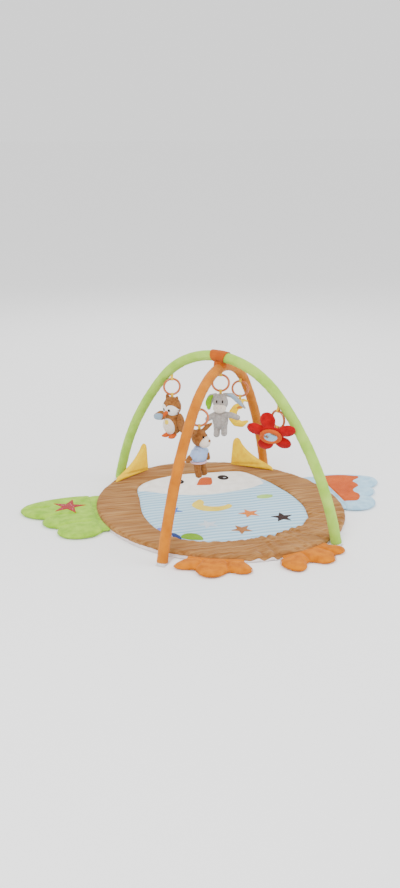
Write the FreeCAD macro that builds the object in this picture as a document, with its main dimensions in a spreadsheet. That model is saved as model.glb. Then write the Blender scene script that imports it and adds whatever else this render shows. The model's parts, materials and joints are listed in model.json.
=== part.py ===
"""Activity play gym: a round owl-shaped play mat with two crossed padded arches and five hanging toys.

The origin is on the floor under the point where the arches cross, +X runs towards the right wing,
+Y towards the ears and +Z up. Every length is in millimetres and every angle in degrees.
"""

import FreeCAD, Part
import math
import os

from FreeCAD import Placement, Rotation, Vector

DRIVING_SIZES = [
    # the mat: a padded disc, slightly oval, with a thick sewn rim
    ("mat_short_radius", 398.0),
    ("mat_long_radius", 438.0),
    ("mat_tilt", 30.0),
    ("mat_centre_x", -11.0),
    ("mat_centre_y", -41.0),
    ("mat_thick", 24.0),
    ("rim_round", 9.0),
    ("backing_thick", 2.0),
    ("backing_inset", 4.0),
    ("wadding_inset", 16.0),
    ("wadding_top", 12.0),
    ("belly_top", 20.0),
    ("face_top", 21.0),
    ("patch_thick", 1.2),
    ("seam_gap", 0.3),
    # the flaps sewn to the mat's edge
    ("wing_thick", 16.0),
    ("wing_gap", 2.5),
    ("foot_thick", 18.0),
    ("ear_tall", 106.0),
    ("ear_wide", 170.0),
    ("ear_thick", 18.0),
    ("ear_inset", 21.0),
    # the two arches
    ("arch_half_span", 462.0),
    ("green_apex", 533.0),
    ("orange_apex", 495.0),
    ("arch_turn", 53.0),
    ("crown_radius", 325.0),
    ("crown_half_angle", 47.0),
    ("sleeve_radius", 17.0),
    ("sleeve_wall", 2.2),
    ("foam_bore", 6.4),
    ("rod_radius", 4.0),
    ("rod_gap_angle", 0.1),
    ("rod_recess", 3.0),
    ("ferrule_radius", 6.0),
    ("ferrule_half_angle", 11.0),
    ("foot_rise", 3.6),
    ("plug_height", 22.0),
    # the floor tabs that hold the arches' feet
    ("tab_wide", 32.0),
    ("tab_thick", 2.0),
    ("tab_beyond_foot", 16.0),
    ("hook_radius", 16.0),
    ("hook_thick", 1.2),
    # the strap and press stud at the crossing
    ("strap_half_angle", 5.5),
    ("strap_wall", 1.6),
    ("stud_radius", 5.0),
    ("stud_sunk", 3.0),
    ("stud_clearance", 0.4),
    ("slide_play", 0.05),
    # the hanging rings and their fabric loops
    ("ring_radius", 27.0),
    ("ring_section", 3.8),
    ("loop_play", 0.9),
    ("loop_wall", 1.1),
    ("loop_wide", 9.0),
    ("toy_stem", 9.0),
    ("loop_sewn_in", 14.0),
    # the toys
    ("owl_tall", 152.0),
    ("deer_tall", 150.0),
    ("donkey_tall", 144.0),
    ("moon_tall", 100.0),
    ("flower_wide", 164.0),
    ("flower_thick", 19.0),
    ("collar_thick", 7.0),
    ("glass_thick", 3.0),
]

ALIASES = {alias for alias, _ in DRIVING_SIZES}

doc = FreeCAD.newDocument("play_gym")
sheet = doc.addObject("Spreadsheet::Sheet", "sizes")
for row, (alias, value) in enumerate(DRIVING_SIZES, start=1):
    sheet.set(f"A{row}", str(value))
    sheet.setAlias(f"A{row}", alias)
doc.recompute()

sub_parts = []


def size(alias):
    """The value of one driving dimension."""
    return float(sheet.get(alias))


def bind(thing, **formulas):
    """Tie properties of an object to the sheet: a formula names the cells as plain words."""
    for name, formula in formulas.items():
        words = formula.replace("(", "( ").replace(")", " )").split()
        linked = [f"sizes.{word}" if word in ALIASES else word for word in words]
        thing.setExpression(name.replace("__", "."), " ".join(linked))
    return thing


def solid(kind, name, place=None, **formulas):
    """A Part primitive whose sizes come from the sheet."""
    thing = bind(doc.addObject(f"Part::{kind}", name), **formulas)
    if place is not None:
        thing.Placement = place
    return thing


def cut(name, base, tool):
    thing = doc.addObject("Part::Cut", name)
    thing.Base = base
    thing.Tool = tool
    return thing


def fuse(name, things):
    thing = doc.addObject("Part::MultiFuse", name)
    thing.Shapes = things
    return thing


def group(name, things):
    """Several separate solids that share one node."""
    thing = doc.addObject("Part::Compound", name)
    thing.Links = things
    return thing


def sub_part(thing, label, place=None):
    """Declare a finished piece: its label names its file."""
    thing.Label = label
    if place is not None:
        thing.Placement = place
    sub_parts.append(thing)
    return thing


def at(x=0.0, y=0.0, z=0.0, turn=0.0):
    return Placement(Vector(x, y, z), Rotation(Vector(0, 0, 1), turn))


def pad(name, outline, bottom, **height):
    """A PartDesign body: a closed outline in the floor plane, padded upwards from its bottom height.

    The outline is a list of corners, or a finished list of sketch curves.
    """
    body = doc.addObject("PartDesign::Body", name)
    floor = next(f for f in body.Origin.OriginFeatures if f.Role == "XY_Plane")
    sketch = body.newObject("Sketcher::SketchObject", f"{name}_outline")
    sketch.AttachmentSupport = [(floor, "")]
    sketch.MapMode = "FlatFace"
    curves = outline
    if isinstance(outline[0], tuple):
        corners = [Vector(x, y, 0) for x, y in outline]
        curves = [Part.LineSegment(a, b) for a, b in zip(corners, corners[1:] + corners[:1])]
    sketch.addGeometry(curves, False)
    bind(sketch, AttachmentOffset__Base__z=bottom)
    extrusion = body.newObject("PartDesign::Pad", f"{name}_pad")
    extrusion.Profile = sketch
    bind(extrusion, **height)
    return body


def smooth(points):
    """One closed smooth curve through the given points."""
    curve = Part.BSplineCurve()
    curve.interpolate([Vector(x, y, 0) for x, y in points], PeriodicFlag=True)
    return [curve]


def star(radius, x, y, turn=0.0, pinch=0.42):
    """The ten corners of a five-pointed star."""
    corners = []
    for k in range(10):
        reach = radius if k % 2 == 0 else radius * pinch
        angle = math.radians(turn + 90 + 36 * k)
        corners.append((x + reach * math.cos(angle), y + reach * math.sin(angle)))
    return corners


def oval(radius_x, radius_y, x, y, count=12):
    turns = [2 * math.pi * k / count for k in range(count)]
    return smooth([(x + radius_x * math.cos(a), y + radius_y * math.sin(a)) for a in turns])


# ------------------------------------------------------------------ the mat


def mat_disc(name, inset, bottom, top):
    """An oval disc of the mat, smaller than the whole by the inset, between two heights."""
    rim = solid("Ellipse", f"{name}_rim",
                MajorRadius=f"mat_long_radius - {inset}", MinorRadius=f"mat_short_radius - {inset}")
    disc = doc.addObject("Part::Extrusion", name)
    disc.Base = rim
    disc.DirMode = "Custom"
    disc.Dir = Vector(0, 0, 1)
    disc.Solid = True
    disc.FaceMakerClass = "Part::FaceMakerBullseye"
    bind(disc, LengthFwd=f"{top} - {bottom}")
    height = size(bottom) if bottom in ALIASES else float(bottom)
    disc.Placement = at(size("mat_centre_x"), size("mat_centre_y"), height, size("mat_tilt") + 90.0)
    return disc


def mat_edge(angle, outside=0.0):
    """A point of the mat's edge, moved outwards, seen from the mat's centre at an angle."""
    tilt = math.radians(size("mat_tilt"))
    short = size("mat_short_radius") + outside
    long = size("mat_long_radius") + outside
    local = math.radians(angle) - tilt
    reach = short * long / math.hypot(long * math.cos(local), short * math.sin(local))
    x = size("mat_centre_x") + reach * math.cos(math.radians(angle))
    y = size("mat_centre_y") + reach * math.sin(math.radians(angle))
    return Vector(x, y, 0)


# the inner panel of the top: a pale belly with the owl's light face above it
INNER_OUTLINE = [(20, 266), (150, 243), (206, 152), (246, 30), (262, -80), (250, -190), (200, -283),
                 (90, -330), (-60, -338), (-180, -300), (-250, -210), (-277, -80), (-265, 60),
                 (-240, 195), (-130, 262)]
FACE_LOWER_EDGE = [(-300, 180), (-223, 131), (-112, 70), (6, 52), (125, 68), (204, 118), (300, 160)]
FACE_UPPER_CORNERS = [(300, 330), (-300, 330)]

sub_part(mat_disc("backing", "backing_inset", "0", "backing_thick"), "mat_backing")
wadding = sub_part(mat_disc("wadding", "wadding_inset", "backing_thick", "wadding_top"), "mat_wadding")

cover = mat_disc("cover", "0", "backing_thick", "mat_thick")
doc.recompute()
rounded = doc.addObject("Part::Fillet", "cover_rounded")
rounded.Base = cover
TOP_AND_BOTTOM = [i for i, edge in enumerate(cover.Shape.Edges, start=1) if edge.isClosed()]
rounded.Edges = [(i, size("rim_round"), size("rim_round")) for i in TOP_AND_BOTTOM]
hollow = mat_disc("cover_hollow", "wadding_inset", "0", "wadding_top")
window = pad("belly_window", smooth(INNER_OUTLINE), "0", Length="mat_thick + 5")
sub_part(cut("border", cut("cover_open", rounded, hollow), window), "mat_border")

inner_belly = pad("belly_block", smooth(INNER_OUTLINE), "wadding_top", Length="belly_top - wadding_top")
inner_face = pad("face_block", smooth(INNER_OUTLINE), "wadding_top", Length="face_top - wadding_top")


def face_region(name):
    """Everything above the curved seam between the face and the belly."""
    seam = Part.BSplineCurve()
    seam.interpolate([Vector(x, y, 0) for x, y in FACE_LOWER_EDGE])
    corners = [seam.EndPoint] + [Vector(x, y, 0) for x, y in FACE_UPPER_CORNERS] + [seam.StartPoint]
    sides = [Part.LineSegment(a, b) for a, b in zip(corners, corners[1:])]
    return pad(name, [seam] + sides, "0", Length="mat_thick + 5")


sub_part(cut("belly", inner_belly, face_region("face_region_out")), "belly_panel")
face = doc.addObject("Part::Common", "face")
face.Base = inner_face
face.Tool = face_region("face_region_in")
sub_part(face, "face_panel")

# appliqué patches lie flat on the panels
eyes = [pad(f"eye_{side}", oval(22, 22, x, 191), "face_top", Length="patch_thick")
        for side, x in (("left", -96), ("right", 68))]
sub_part(group("eyes", eyes), "eye_patches")
BEAK = [(-34, 144), (-14, 196), (8, 212), (32, 202), (24, 160), (10, 134)]
sub_part(pad("beak", smooth(BEAK), "face_top", Length="patch_thick"), "beak_patch")
MOON = [(-103, -30), (-90, 2), (-72, 10), (-60, -8), (-64, -36), (-44, -56), (-14, -64), (22, -57),
        (10, -80), (-30, -97), (-72, -88), (-96, -60)]
sub_part(pad("moon_applique", smooth(MOON), "belly_top", Length="patch_thick"), "moon_patch")
STARS = [(34, 64, -143, 8), (36, 155, -200, -4), (33, 8, -262, 20), (31, -90, -196, 10),
         (30, -168, -60, 30)]
stars = [pad(f"star_{k}", star(r, x, y, turn), "belly_top", Length="patch_thick")
         for k, (r, x, y, turn) in enumerate(STARS, start=1)]
sub_part(group("stars", stars), "star_patches")
hills = [pad("green_dot", oval(28, 18, 160, -14), "belly_top", Length="patch_thick"),
         pad("green_hill", smooth([(-192, -272), (-165, -258), (-140, -276), (-136, -298), (-164, -292)]),
             "belly_top", Length="patch_thick"),
         pad("blue_hill", smooth([(-230, -200), (-216, -206), (-196, -262), (-202, -272), (-224, -234)]),
             "belly_top", Length="patch_thick")]
sub_part(group("hills", hills), "hill_patches")

# ------------------------------------------------------------------ the flaps

LEFT_ROOT_X = size("mat_centre_x") - math.hypot(
    size("mat_short_radius") * math.cos(math.radians(size("mat_tilt"))),
    size("mat_long_radius") * math.sin(math.radians(size("mat_tilt")))) - size("wing_gap")
RIGHT_ROOT_X = 2 * size("mat_centre_x") - LEFT_ROOT_X

LEFT_WING = [(LEFT_ROOT_X, 162), (-519, 167), (-600, 152), (-645, 130), (-667, 92), (-657, 50),
             (-630, 24), (-593, 3), (-604, -30), (-594, -60), (-557, -84), (-565, -125), (-546, -158),
             (-505, -174), (-455, -170), (LEFT_ROOT_X, -140)]
RIGHT_WING = [(RIGHT_ROOT_X, 152), (500, 142), (585, 112), (614, 80), (612, 50), (590, 22), (557, 2),
              (566, -20), (555, -48), (518, -74), (528, -105), (510, -150), (473, -178),
              (430, -174), (RIGHT_ROOT_X, -160)]
sub_part(pad("left_wing", LEFT_WING, "0", Length="wing_thick"), "wing_left")
sub_part(pad("right_wing", RIGHT_WING, "0", Length="wing_thick"), "wing_right")
wing_star = pad("wing_star", star(56, -508, 66, -20, 0.34), "wing_thick", Length="patch_thick")
sub_part(wing_star, "wing_left_star")
INSET = [(416, 122), (490, 118), (552, 92), (541, 64), (508, 42), (515, 10), (494, -18), (474, -44),
         (482, -86), (456, -122), (416, -116)]
sub_part(pad("wing_inset", INSET, "wing_thick", Length="patch_thick"), "wing_right_inset")


def flap_foot(name, angle, outline):
    """A three-toed foot, drawn with its root on the X axis and its toes towards -Y, at the mat's edge."""
    edge = mat_edge(angle, size("wing_gap"))
    step = mat_edge(angle + 1, size("wing_gap")) - mat_edge(angle - 1, size("wing_gap"))
    heading = math.degrees(math.atan2(step.y, step.x))
    toes = pad(name, outline, "0", Length="foot_thick")
    toes.Placement = at(edge.x, edge.y, 0.0, heading)
    return toes


LEFT_TOES = [(-88, 0), (-116, -38), (-106, -58), (-52, -60), (-34, -92), (-4, -104), (28, -90),
             (48, -62), (92, -66), (108, -44), (86, 0)]
RIGHT_TOES = [(-92, 0), (-106, -26), (-100, -78), (-76, -86), (-48, -56), (-24, -58), (2, -92),
              (38, -88), (58, -60), (96, -62), (112, -42), (78, 0)]
sub_part(flap_foot("left_toes", -107.0, LEFT_TOES), "foot_left")
sub_part(flap_foot("right_toes", -68.0, RIGHT_TOES), "foot_right")


def ear(name, angle, inner_side):
    """A stuffed triangle that stands on the rim, tallest over the end nearer the middle."""
    body = doc.addObject("PartDesign::Body", name)
    wall = next(f for f in body.Origin.OriginFeatures if f.Role == "XZ_Plane")
    sketch = body.newObject("Sketcher::SketchObject", f"{name}_outline")
    sketch.AttachmentSupport = [(wall, "")]
    sketch.MapMode = "FlatFace"
    half, tall = size("ear_wide") / 2, size("ear_tall")
    shape = [(half, 0), (half * 0.84, tall * 0.92), (half * 0.68, tall), (half * 0.48, tall * 0.95),
             (half * 0.34, tall * 0.82), (-half, tall * 0.06), (-half, 0)]
    corners = [Vector(inner_side * x, z, 0) for x, z in shape]
    sketch.addGeometry([Part.LineSegment(a, b) for a, b in zip(corners, corners[1:] + corners[:1])],
                       False)
    slab = body.newObject("PartDesign::Pad", f"{name}_pad")
    slab.Profile = sketch
    slab.Midplane = True
    bind(slab, Length="ear_thick")
    base = mat_edge(angle, -size("rim_round") - size("ear_thick") / 2 - size("ear_inset"))
    step = mat_edge(angle - 1) - mat_edge(angle + 1)
    heading = math.degrees(math.atan2(step.y, step.x))
    body.Placement = at(base.x, base.y, size("mat_thick") + size("seam_gap"), heading)
    return body


sub_part(ear("left_ear", 124.5, 1), "ear_left")
sub_part(ear("right_ear", 56.0, -1), "ear_right")

# ------------------------------------------------------------------ the arches


def arch_line(apex):
    """The centre line of half an arch: a crown arc, then a longer leg arc that meets the floor."""
    crown = size("crown_radius")
    first = math.radians(size("crown_half_angle"))
    knee_x = crown * math.sin(first)
    knee_z = apex - crown * (1 - math.cos(first))
    chord = math.hypot(size("arch_half_span") - knee_x, knee_z)
    last = 2 * math.atan2(knee_z, size("arch_half_span") - knee_x) - first
    leg = chord / (2 * math.sin((last - first) / 2))
    return {"apex": apex, "crown": crown, "first": first, "last": last, "leg": leg,
            "leg_x": knee_x - leg * math.sin(first), "leg_z": knee_z - leg * math.cos(first)}


def arch_height(line, reach):
    """How high the centre line is, and its slope, at a horizontal distance from the crossing."""
    if reach < line["crown"] * math.sin(line["first"]):
        angle = math.asin(reach / line["crown"])
        return line["apex"] - line["crown"] * (1 - math.cos(angle)), math.tan(angle)
    angle = math.asin((reach - line["leg_x"]) / line["leg"])
    return line["leg_z"] + line["leg"] * math.cos(angle), math.tan(angle)


def arc_tube(name, radius, centre_x, centre_z, start, end, major):
    """A piece of torus that stands in the arch's plane; its angles are measured from the top."""
    upright = Rotation(Vector(1, 0, 0), 90) * Rotation(Vector(0, 0, 1), 90 - end)
    piece = solid("Torus", name, Placement(Vector(centre_x, 0, centre_z), upright), Radius2=radius)
    piece.Radius1 = major
    piece.Angle3 = end - start
    return piece


def arch_tube(name, line, radius, sides=(1, -1)):
    """A round bar along the arch, or along one side of it, that runs on below the floor."""
    first = math.degrees(line["first"])
    beyond = math.degrees(line["last"]) + 2.0
    crown_z = line["apex"] - line["crown"]
    low = -first if -1 in sides else size("rod_gap_angle")
    high = first if 1 in sides else -size("rod_gap_angle")
    runs = [arc_tube(f"{name}_crown", radius, 0, crown_z, low, high, line["crown"])]
    for side in sides:
        ends = (first, beyond) if side == 1 else (-beyond, -first)
        runs.append(arc_tube(f"{name}_leg_{side + 2}", radius, side * line["leg_x"], line["leg_z"],
                             ends[0], ends[1], line["leg"]))
    return fuse(name, runs)


def floor_block(name, top):
    """Everything below a height, to trim the arches' ends level with the floor."""
    reach = 3 * size("arch_half_span")
    block = doc.addObject("Part::Box", name)
    block.Length = reach
    block.Width = reach
    block.Height = reach
    block.Placement = Placement(Vector(-reach / 2, -reach / 2, top - reach), Rotation())
    return block


def over_middle(turn=0.0):
    """The place over the mat's middle, where the two arches cross."""
    return at(size("mat_centre_x"), size("mat_centre_y"), 0.0, turn)


ARCHES = {"orange": (arch_line(size("orange_apex")), size("arch_turn")),
          "green": (arch_line(size("green_apex")), 180.0 - size("arch_turn"))}


def build_arch(colour):
    """Rods, ferrule, foam, sleeve and foot plugs of one arch."""
    line, turn = ARCHES[colour]
    place = over_middle(turn)
    foot = size("foot_rise")
    plug_top = foot + size("plug_height")

    def trimmed(name, bar, bore, bottom):
        open_bar = bar if bore is None else cut(f"{name}_bored", bar, bore)
        return cut(name, open_bar, floor_block(f"{name}_floor", bottom))

    sleeve = trimmed(f"{colour}_cloth",
                     arch_tube(f"{colour}_cloth_outer", line, "sleeve_radius"),
                     arch_tube(f"{colour}_cloth_inner", line, "sleeve_radius - sleeve_wall"), foot)
    sub_part(sleeve, f"{colour}_sleeve", place)
    foam = trimmed(f"{colour}_padding",
                   arch_tube(f"{colour}_foam_outer", line, "sleeve_radius - sleeve_wall"),
                   arch_tube(f"{colour}_foam_inner", line, "foam_bore"), plug_top)
    sub_part(foam, f"{colour}_foam", place)
    for side, end in ((1, "back"), (-1, "front")):
        rod = trimmed(f"{colour}_rod_{end}_bar",
                      arch_tube(f"{colour}_rod_{end}_line", line, "rod_radius", (side,)),
                      None, foot + size("rod_recess"))
        sub_part(rod, f"{colour}_rod_{end}", place)
    half = size("ferrule_half_angle")
    crown_z = line["apex"] - line["crown"]
    ferrule = cut(f"{colour}_tube_joint",
                  arc_tube(f"{colour}_ferrule_outer", "ferrule_radius", 0, crown_z, -half, half,
                           line["crown"]),
                  arc_tube(f"{colour}_ferrule_inner", "rod_radius + slide_play", 0, crown_z, -half - 1,
                           half + 1, line["crown"]))
    sub_part(ferrule, f"{colour}_ferrule", place)

    plugs = doc.addObject("Part::Common", f"{colour}_plugs")
    plugs.Base = cut(f"{colour}_plug_bar",
                     arch_tube(f"{colour}_plug_outer", line, "sleeve_radius - sleeve_wall"),
                     arch_tube(f"{colour}_plug_inner", line, "rod_radius + slide_play"))
    slab = doc.addObject("Part::Box", f"{colour}_plug_slab")
    slab.Length = 4 * size("arch_half_span")
    slab.Width = slab.Length
    bind(slab, Height="plug_height")
    slab.Placement = Placement(Vector(-slab.Length.Value / 2, -slab.Width.Value / 2, foot), Rotation())
    plugs.Tool = slab
    sub_part(plugs, f"{colour}_foot_plugs", place)


for colour in ARCHES:
    build_arch(colour)

# floor tabs reach out from under the mat's edge to each arch foot, with a hook pad on top
tabs, hooks = [], []
for colour, (line, turn) in ARCHES.items():
    for side in (0.0, 180.0):
        heading = turn + side
        foot_x = size("arch_half_span")
        edge = mat_edge(heading) - over_middle().Base
        inner_end = edge.Length - size("backing_inset") + 1.0
        number = len(tabs) + 1
        tab = solid("Box", f"tab_{number}", Width="tab_wide", Height="tab_thick")
        tab.Length = foot_x + size("tab_beyond_foot") - inner_end
        half_width = size("tab_wide") / 2
        shift = Placement(Vector(inner_end, -half_width, 0), Rotation())
        tab.Placement = over_middle(heading).multiply(shift)
        tabs.append(tab)
        hook = solid("Cylinder", f"hook_{number}", Radius="hook_radius", Height="hook_thick")
        hook.Placement = over_middle(heading).multiply(at(foot_x, 0, size("tab_thick")))
        hooks.append(hook)
backing_again = mat_disc("backing_tool", "backing_inset", "0", "backing_thick")
sub_part(cut("tab_set", group("tab_group", tabs), backing_again), "anchor_tabs")
sub_part(group("hook_set", hooks), "anchor_hook_pads")

# a strap goes over the green arch at the crossing and turns on a press stud on the orange arch
green_line, green_turn = ARCHES["green"]
green_crown_z = green_line["apex"] - green_line["crown"]
strap_angle = size("strap_half_angle")
strap_outer = arc_tube("strap_outer", "sleeve_radius + strap_wall + seam_gap", 0, green_crown_z,
                       -strap_angle, strap_angle, green_line["crown"])
strap_inner = arc_tube("strap_inner", "sleeve_radius", 0, green_crown_z, -strap_angle - 1,
                       strap_angle + 1, green_line["crown"])
orange_top = size("orange_apex") + size("sleeve_radius")
stud_top = size("green_apex") - size("sleeve_radius") - size("stud_clearance")
socket_hole = solid("Cylinder", "socket_hole", at(0, 0, orange_top - 1), Radius="stud_radius + slide_play",
                    Height="sleeve_radius")
band = cut("strap_band", cut("strap_ring", strap_outer, strap_inner), socket_hole)
sub_part(band, "crossing_strap", over_middle(green_turn))

orange_line = ARCHES["orange"][0]
stud_bottom = orange_top - size("stud_sunk")
stud = solid("Cylinder", "stud_post", at(0, 0, stud_bottom), Radius="stud_radius")
stud.Height = stud_top - stud_bottom
orange_bar = arch_tube("orange_bar_tool", orange_line, "sleeve_radius")
orange_bar.Placement = at(turn=ARCHES["orange"][1])
sub_part(cut("stud_piece", stud, orange_bar), "crossing_stud", over_middle())

# ------------------------------------------------------------------ rings, loops and toys

# each toy: the arch that carries it, the side and distance of its loop, the length of loop that
# shows under the sleeve, the way its ring lies and the way the toy faces
HANGING = {
    "owl": ("green", 1, 205.0, 11.0, -6.0, -54.0),
    "deer": ("orange", -1, 174.0, 17.0, -14.0, 46.0),
    "donkey": ("orange", 1, 6.0, 4.0, -14.0, -24.0),
    "moon": ("orange", 1, 191.0, 5.0, -20.0, -6.0),
    "flower": ("green", -1, 230.0, 17.0, 116.0, -27.0),
}


# the flower's own loop is longer and leans forwards, because the flower rests clear of the arch's leg
FORWARD_LOOP = {"flower": (64.0, 24.0)}


def hang_point(toy):
    """The lowest point of the sleeve over the toy, and the centre of its ring under that point."""
    colour, side, reach, drop, _, _ = HANGING[toy]
    line, turn = ARCHES[colour]
    height, slope = arch_height(line, reach)
    heading = math.radians(turn)
    x = size("mat_centre_x") + side * reach * math.cos(heading)
    y = size("mat_centre_y") + side * reach * math.sin(heading)
    under = height - size("sleeve_radius") * math.hypot(1.0, slope)
    ring_z = under - drop - size("ring_section") - size("ring_radius")
    return Vector(x, y, under), Vector(x, y, ring_z)


def fabric_loop(name, stem_length, upwards):
    """A tape folded round a ring's bar, which runs along X, with a stem that runs up or down."""
    outer = solid("Cylinder", f"{name}_outer", Radius="ring_section + loop_play + loop_wall",
                  Height="loop_wide")
    inner = solid("Cylinder", f"{name}_inner", Radius="ring_section + loop_play", Height="loop_wide + 2")
    half = size("loop_wide") / 2
    along_x = Rotation(Vector(0, 1, 0), 90)
    outer.Placement = Placement(Vector(-half, 0, 0), along_x)
    inner.Placement = Placement(Vector(-half - 1, 0, 0), along_x)
    stem = solid("Box", f"{name}_stem", Length="loop_wide", Width="loop_wall * 2")
    stem.Height = stem_length
    bottom = 0 if upwards else -stem_length
    stem.Placement = Placement(Vector(-half, -size("loop_wall"), bottom), Rotation())
    return cut(name, fuse(f"{name}_tape", [outer, stem]), inner)


sleeve_tools = {colour: arch_tube(f"{colour}_loop_tool", line, "sleeve_radius")
                for colour, (line, turn) in ARCHES.items()}
for colour, tool in sleeve_tools.items():
    tool.Placement = over_middle(ARCHES[colour][1])

arch_loops = {"orange": [], "green": []}
for toy, (colour, side, reach, drop, ring_turn, toy_turn) in HANGING.items():
    under, ring = hang_point(toy)
    ring_top = ring.z + size("ring_radius")
    upper = fabric_loop(f"{toy}_upper_loop", under.z - ring_top + size("loop_sewn_in"), True)
    upper.Placement = at(ring.x, ring.y, ring_top, ring_turn)
    arch_loops[colour].append(upper)
    hoop = solid("Torus", f"{toy}_hoop", Radius1="ring_radius", Radius2="ring_section")
    standing = at(turn=ring_turn).Rotation * Rotation(Vector(1, 0, 0), 90)
    sub_part(hoop, f"{toy}_ring", Placement(ring, standing))
for colour, loops in arch_loops.items():
    sub_part(cut(f"{colour}_loop_set", group(f"{colour}_loop_group", loops), sleeve_tools[colour]),
             f"{colour}_toy_loops")


AXIS_TURNS = [Rotation(Vector(0, 1, 0), 90), Rotation(Vector(1, 0, 0), -90), Rotation()]


def blob(name, cell, radii, centre, lean=0.0):
    """A plump round-ended bar, its radii and centre given as shares of one driving dimension.

    It runs along its largest radius, is round across it, and leans about the front-to-back axis.
    """
    longest = max(range(3), key=lambda k: radii[k])
    across = math.sqrt(math.prod(radii) / radii[longest])
    half = radii[longest] - across
    ends = [solid("Sphere", f"{name}_end_{k}", at(z=size(cell) * k * half), Radius=f"{cell} * {across:.4f}")
            for k in (-1, 1)]
    bar = solid("Cylinder", f"{name}_bar", at(z=-size(cell) * half), Radius=f"{cell} * {across:.4f}",
                Height=f"{cell} * {2 * half:.4f}")
    plump = fuse(name, [bar] + ends)
    x, y, z = (size(cell) * c for c in centre)
    plump.Placement = Placement(Vector(x, y, z), Rotation(Vector(0, 1, 0), lean) * AXIS_TURNS[longest])
    return plump


def toy_place(toy):
    _, ring = hang_point(toy)
    return at(ring.x, ring.y, ring.z - size("ring_radius"), HANGING[toy][5])


def toy_loop(toy, body):
    """The toy's own loop under its ring, cut off where it enters the toy."""
    _, ring = hang_point(toy)
    lean, longer = FORWARD_LOOP.get(toy, (0.0, 0.0))
    loop = fabric_loop(f"{toy}_lower_loop", size("toy_stem") + size("loop_sewn_in") + longer, False)
    leaning = Placement(Vector(), Rotation(Vector(1, 0, 0), lean))
    loop.Placement = at(ring.x, ring.y, ring.z - size("ring_radius"), HANGING[toy][4]).multiply(leaning)
    sub_part(cut(f"{toy}_loop_cut", loop, body), f"{toy}_loop")


def side_by_side(name, cell, radii, centre, lean, body=None):
    """A mirrored pair of blobs, trimmed where they meet the body."""
    pair = [blob(f"{name}_{k}", cell, radii, (k * centre[0], centre[1], centre[2]), -k * lean)
            for k in (1, -1)]
    both = group(f"{name}_pair", pair)
    return both if body is None else cut(name, both, body)


# the owl: one pear-shaped body, two wings and a pair of feet
owl = fuse("owl_plush", [blob("owl_head", "owl_tall", (0.215, 0.19, 0.25), (0, 0, -0.30)),
                         blob("owl_trunk", "owl_tall", (0.235, 0.20, 0.33), (0, 0, -0.62))])
owl_wings = side_by_side("owl_wing", "owl_tall", (0.075, 0.12, 0.25), (0.245, 0.02, -0.60), 10, owl)
owl_feet = side_by_side("owl_foot", "owl_tall", (0.10, 0.15, 0.06), (0.10, -0.12, -0.94), 0, owl)

# the deer: head with a pale muzzle and ears, a jumper, and four limbs
deer_head = fuse("deer_skull", [
    blob("deer_brow", "deer_tall", (0.17, 0.18, 0.21), (0, 0, -0.28)),
    blob("deer_muzzle", "deer_tall", (0.13, 0.16, 0.15), (0, -0.16, -0.33)),
    blob("deer_ear_1", "deer_tall", (0.055, 0.045, 0.15), (0.20, 0, -0.10), 48),
    blob("deer_ear_2", "deer_tall", (0.055, 0.045, 0.15), (-0.20, 0, -0.10), -48)])
deer_body = cut("deer_jumper", blob("deer_trunk", "deer_tall", (0.19, 0.175, 0.22), (0, 0.01, -0.66)),
                deer_head)
deer_limbs = fuse("deer_limb_set", [
    side_by_side("deer_arm", "deer_tall", (0.06, 0.065, 0.16), (0.22, -0.03, -0.60), 28),
    side_by_side("deer_leg", "deer_tall", (0.075, 0.085, 0.17), (0.095, -0.02, -0.95), 0)])
deer_limbs_trimmed = cut("deer_limbs_cut", cut("deer_limbs_under_jumper", deer_limbs, deer_body),
                         deer_head)

# the donkey: head with a pale muzzle, floppy ears, and a body with four limbs
donkey_head = fuse("donkey_skull", [
    blob("donkey_brow", "donkey_tall", (0.175, 0.17, 0.20), (0, 0, -0.26)),
    blob("donkey_muzzle", "donkey_tall", (0.155, 0.13, 0.13), (0, -0.12, -0.37))])
donkey_ears = cut("donkey_ears_cut", group("donkey_ear_pair", [
    blob("donkey_ear_out", "donkey_tall", (0.25, 0.04, 0.075), (0.31, 0.04, -0.22), 30),
    blob("donkey_ear_down", "donkey_tall", (0.085, 0.045, 0.21), (-0.235, 0.03, -0.27), 12)]), donkey_head)
donkey_body = cut("donkey_body_cut", fuse("donkey_body_parts", [
    blob("donkey_trunk", "donkey_tall", (0.185, 0.16, 0.23), (0, 0, -0.66)),
    blob("donkey_arm_1", "donkey_tall", (0.15, 0.07, 0.075), (0.24, -0.03, -0.555), 20),
    blob("donkey_arm_2", "donkey_tall", (0.15, 0.07, 0.075), (-0.24, -0.03, -0.58), -32),
    blob("donkey_leg_1", "donkey_tall", (0.075, 0.085, 0.19), (0.10, -0.02, -0.86), 0),
    blob("donkey_leg_2", "donkey_tall", (0.075, 0.085, 0.19), (-0.10, -0.02, -0.86), 0)]), donkey_head)

# the moon: a crescent that opens to one side, with a pointed nightcap
MOON_MAJOR, MOON_MINOR = 0.34, 0.15
crescent = solid("Torus", "crescent", Radius1=f"moon_tall * {MOON_MAJOR}",
                 Radius2=f"moon_tall * {MOON_MINOR}")
crescent.Angle3 = 205.0
moon_z = -size("moon_tall") * (MOON_MAJOR + MOON_MINOR) - 20.0
crescent.Placement = Placement(Vector(0.02 * size("moon_tall"), 0, moon_z),
                               Rotation(Vector(0, 1, 0), -78) * Rotation(Vector(1, 0, 0), 90))
cap = blob("moon_cap", "moon_tall", (0.10, 0.10, 0.20), (0.09, 0, -0.22), 20)
moon = fuse("moon_plush", [crescent, cap])

# the flower: five petals and a round mirror in a soft ring, tilted to look down
PETALS = 5
FLOWER_TILT = 34.0
FIRST_PETAL = 97.0


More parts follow.
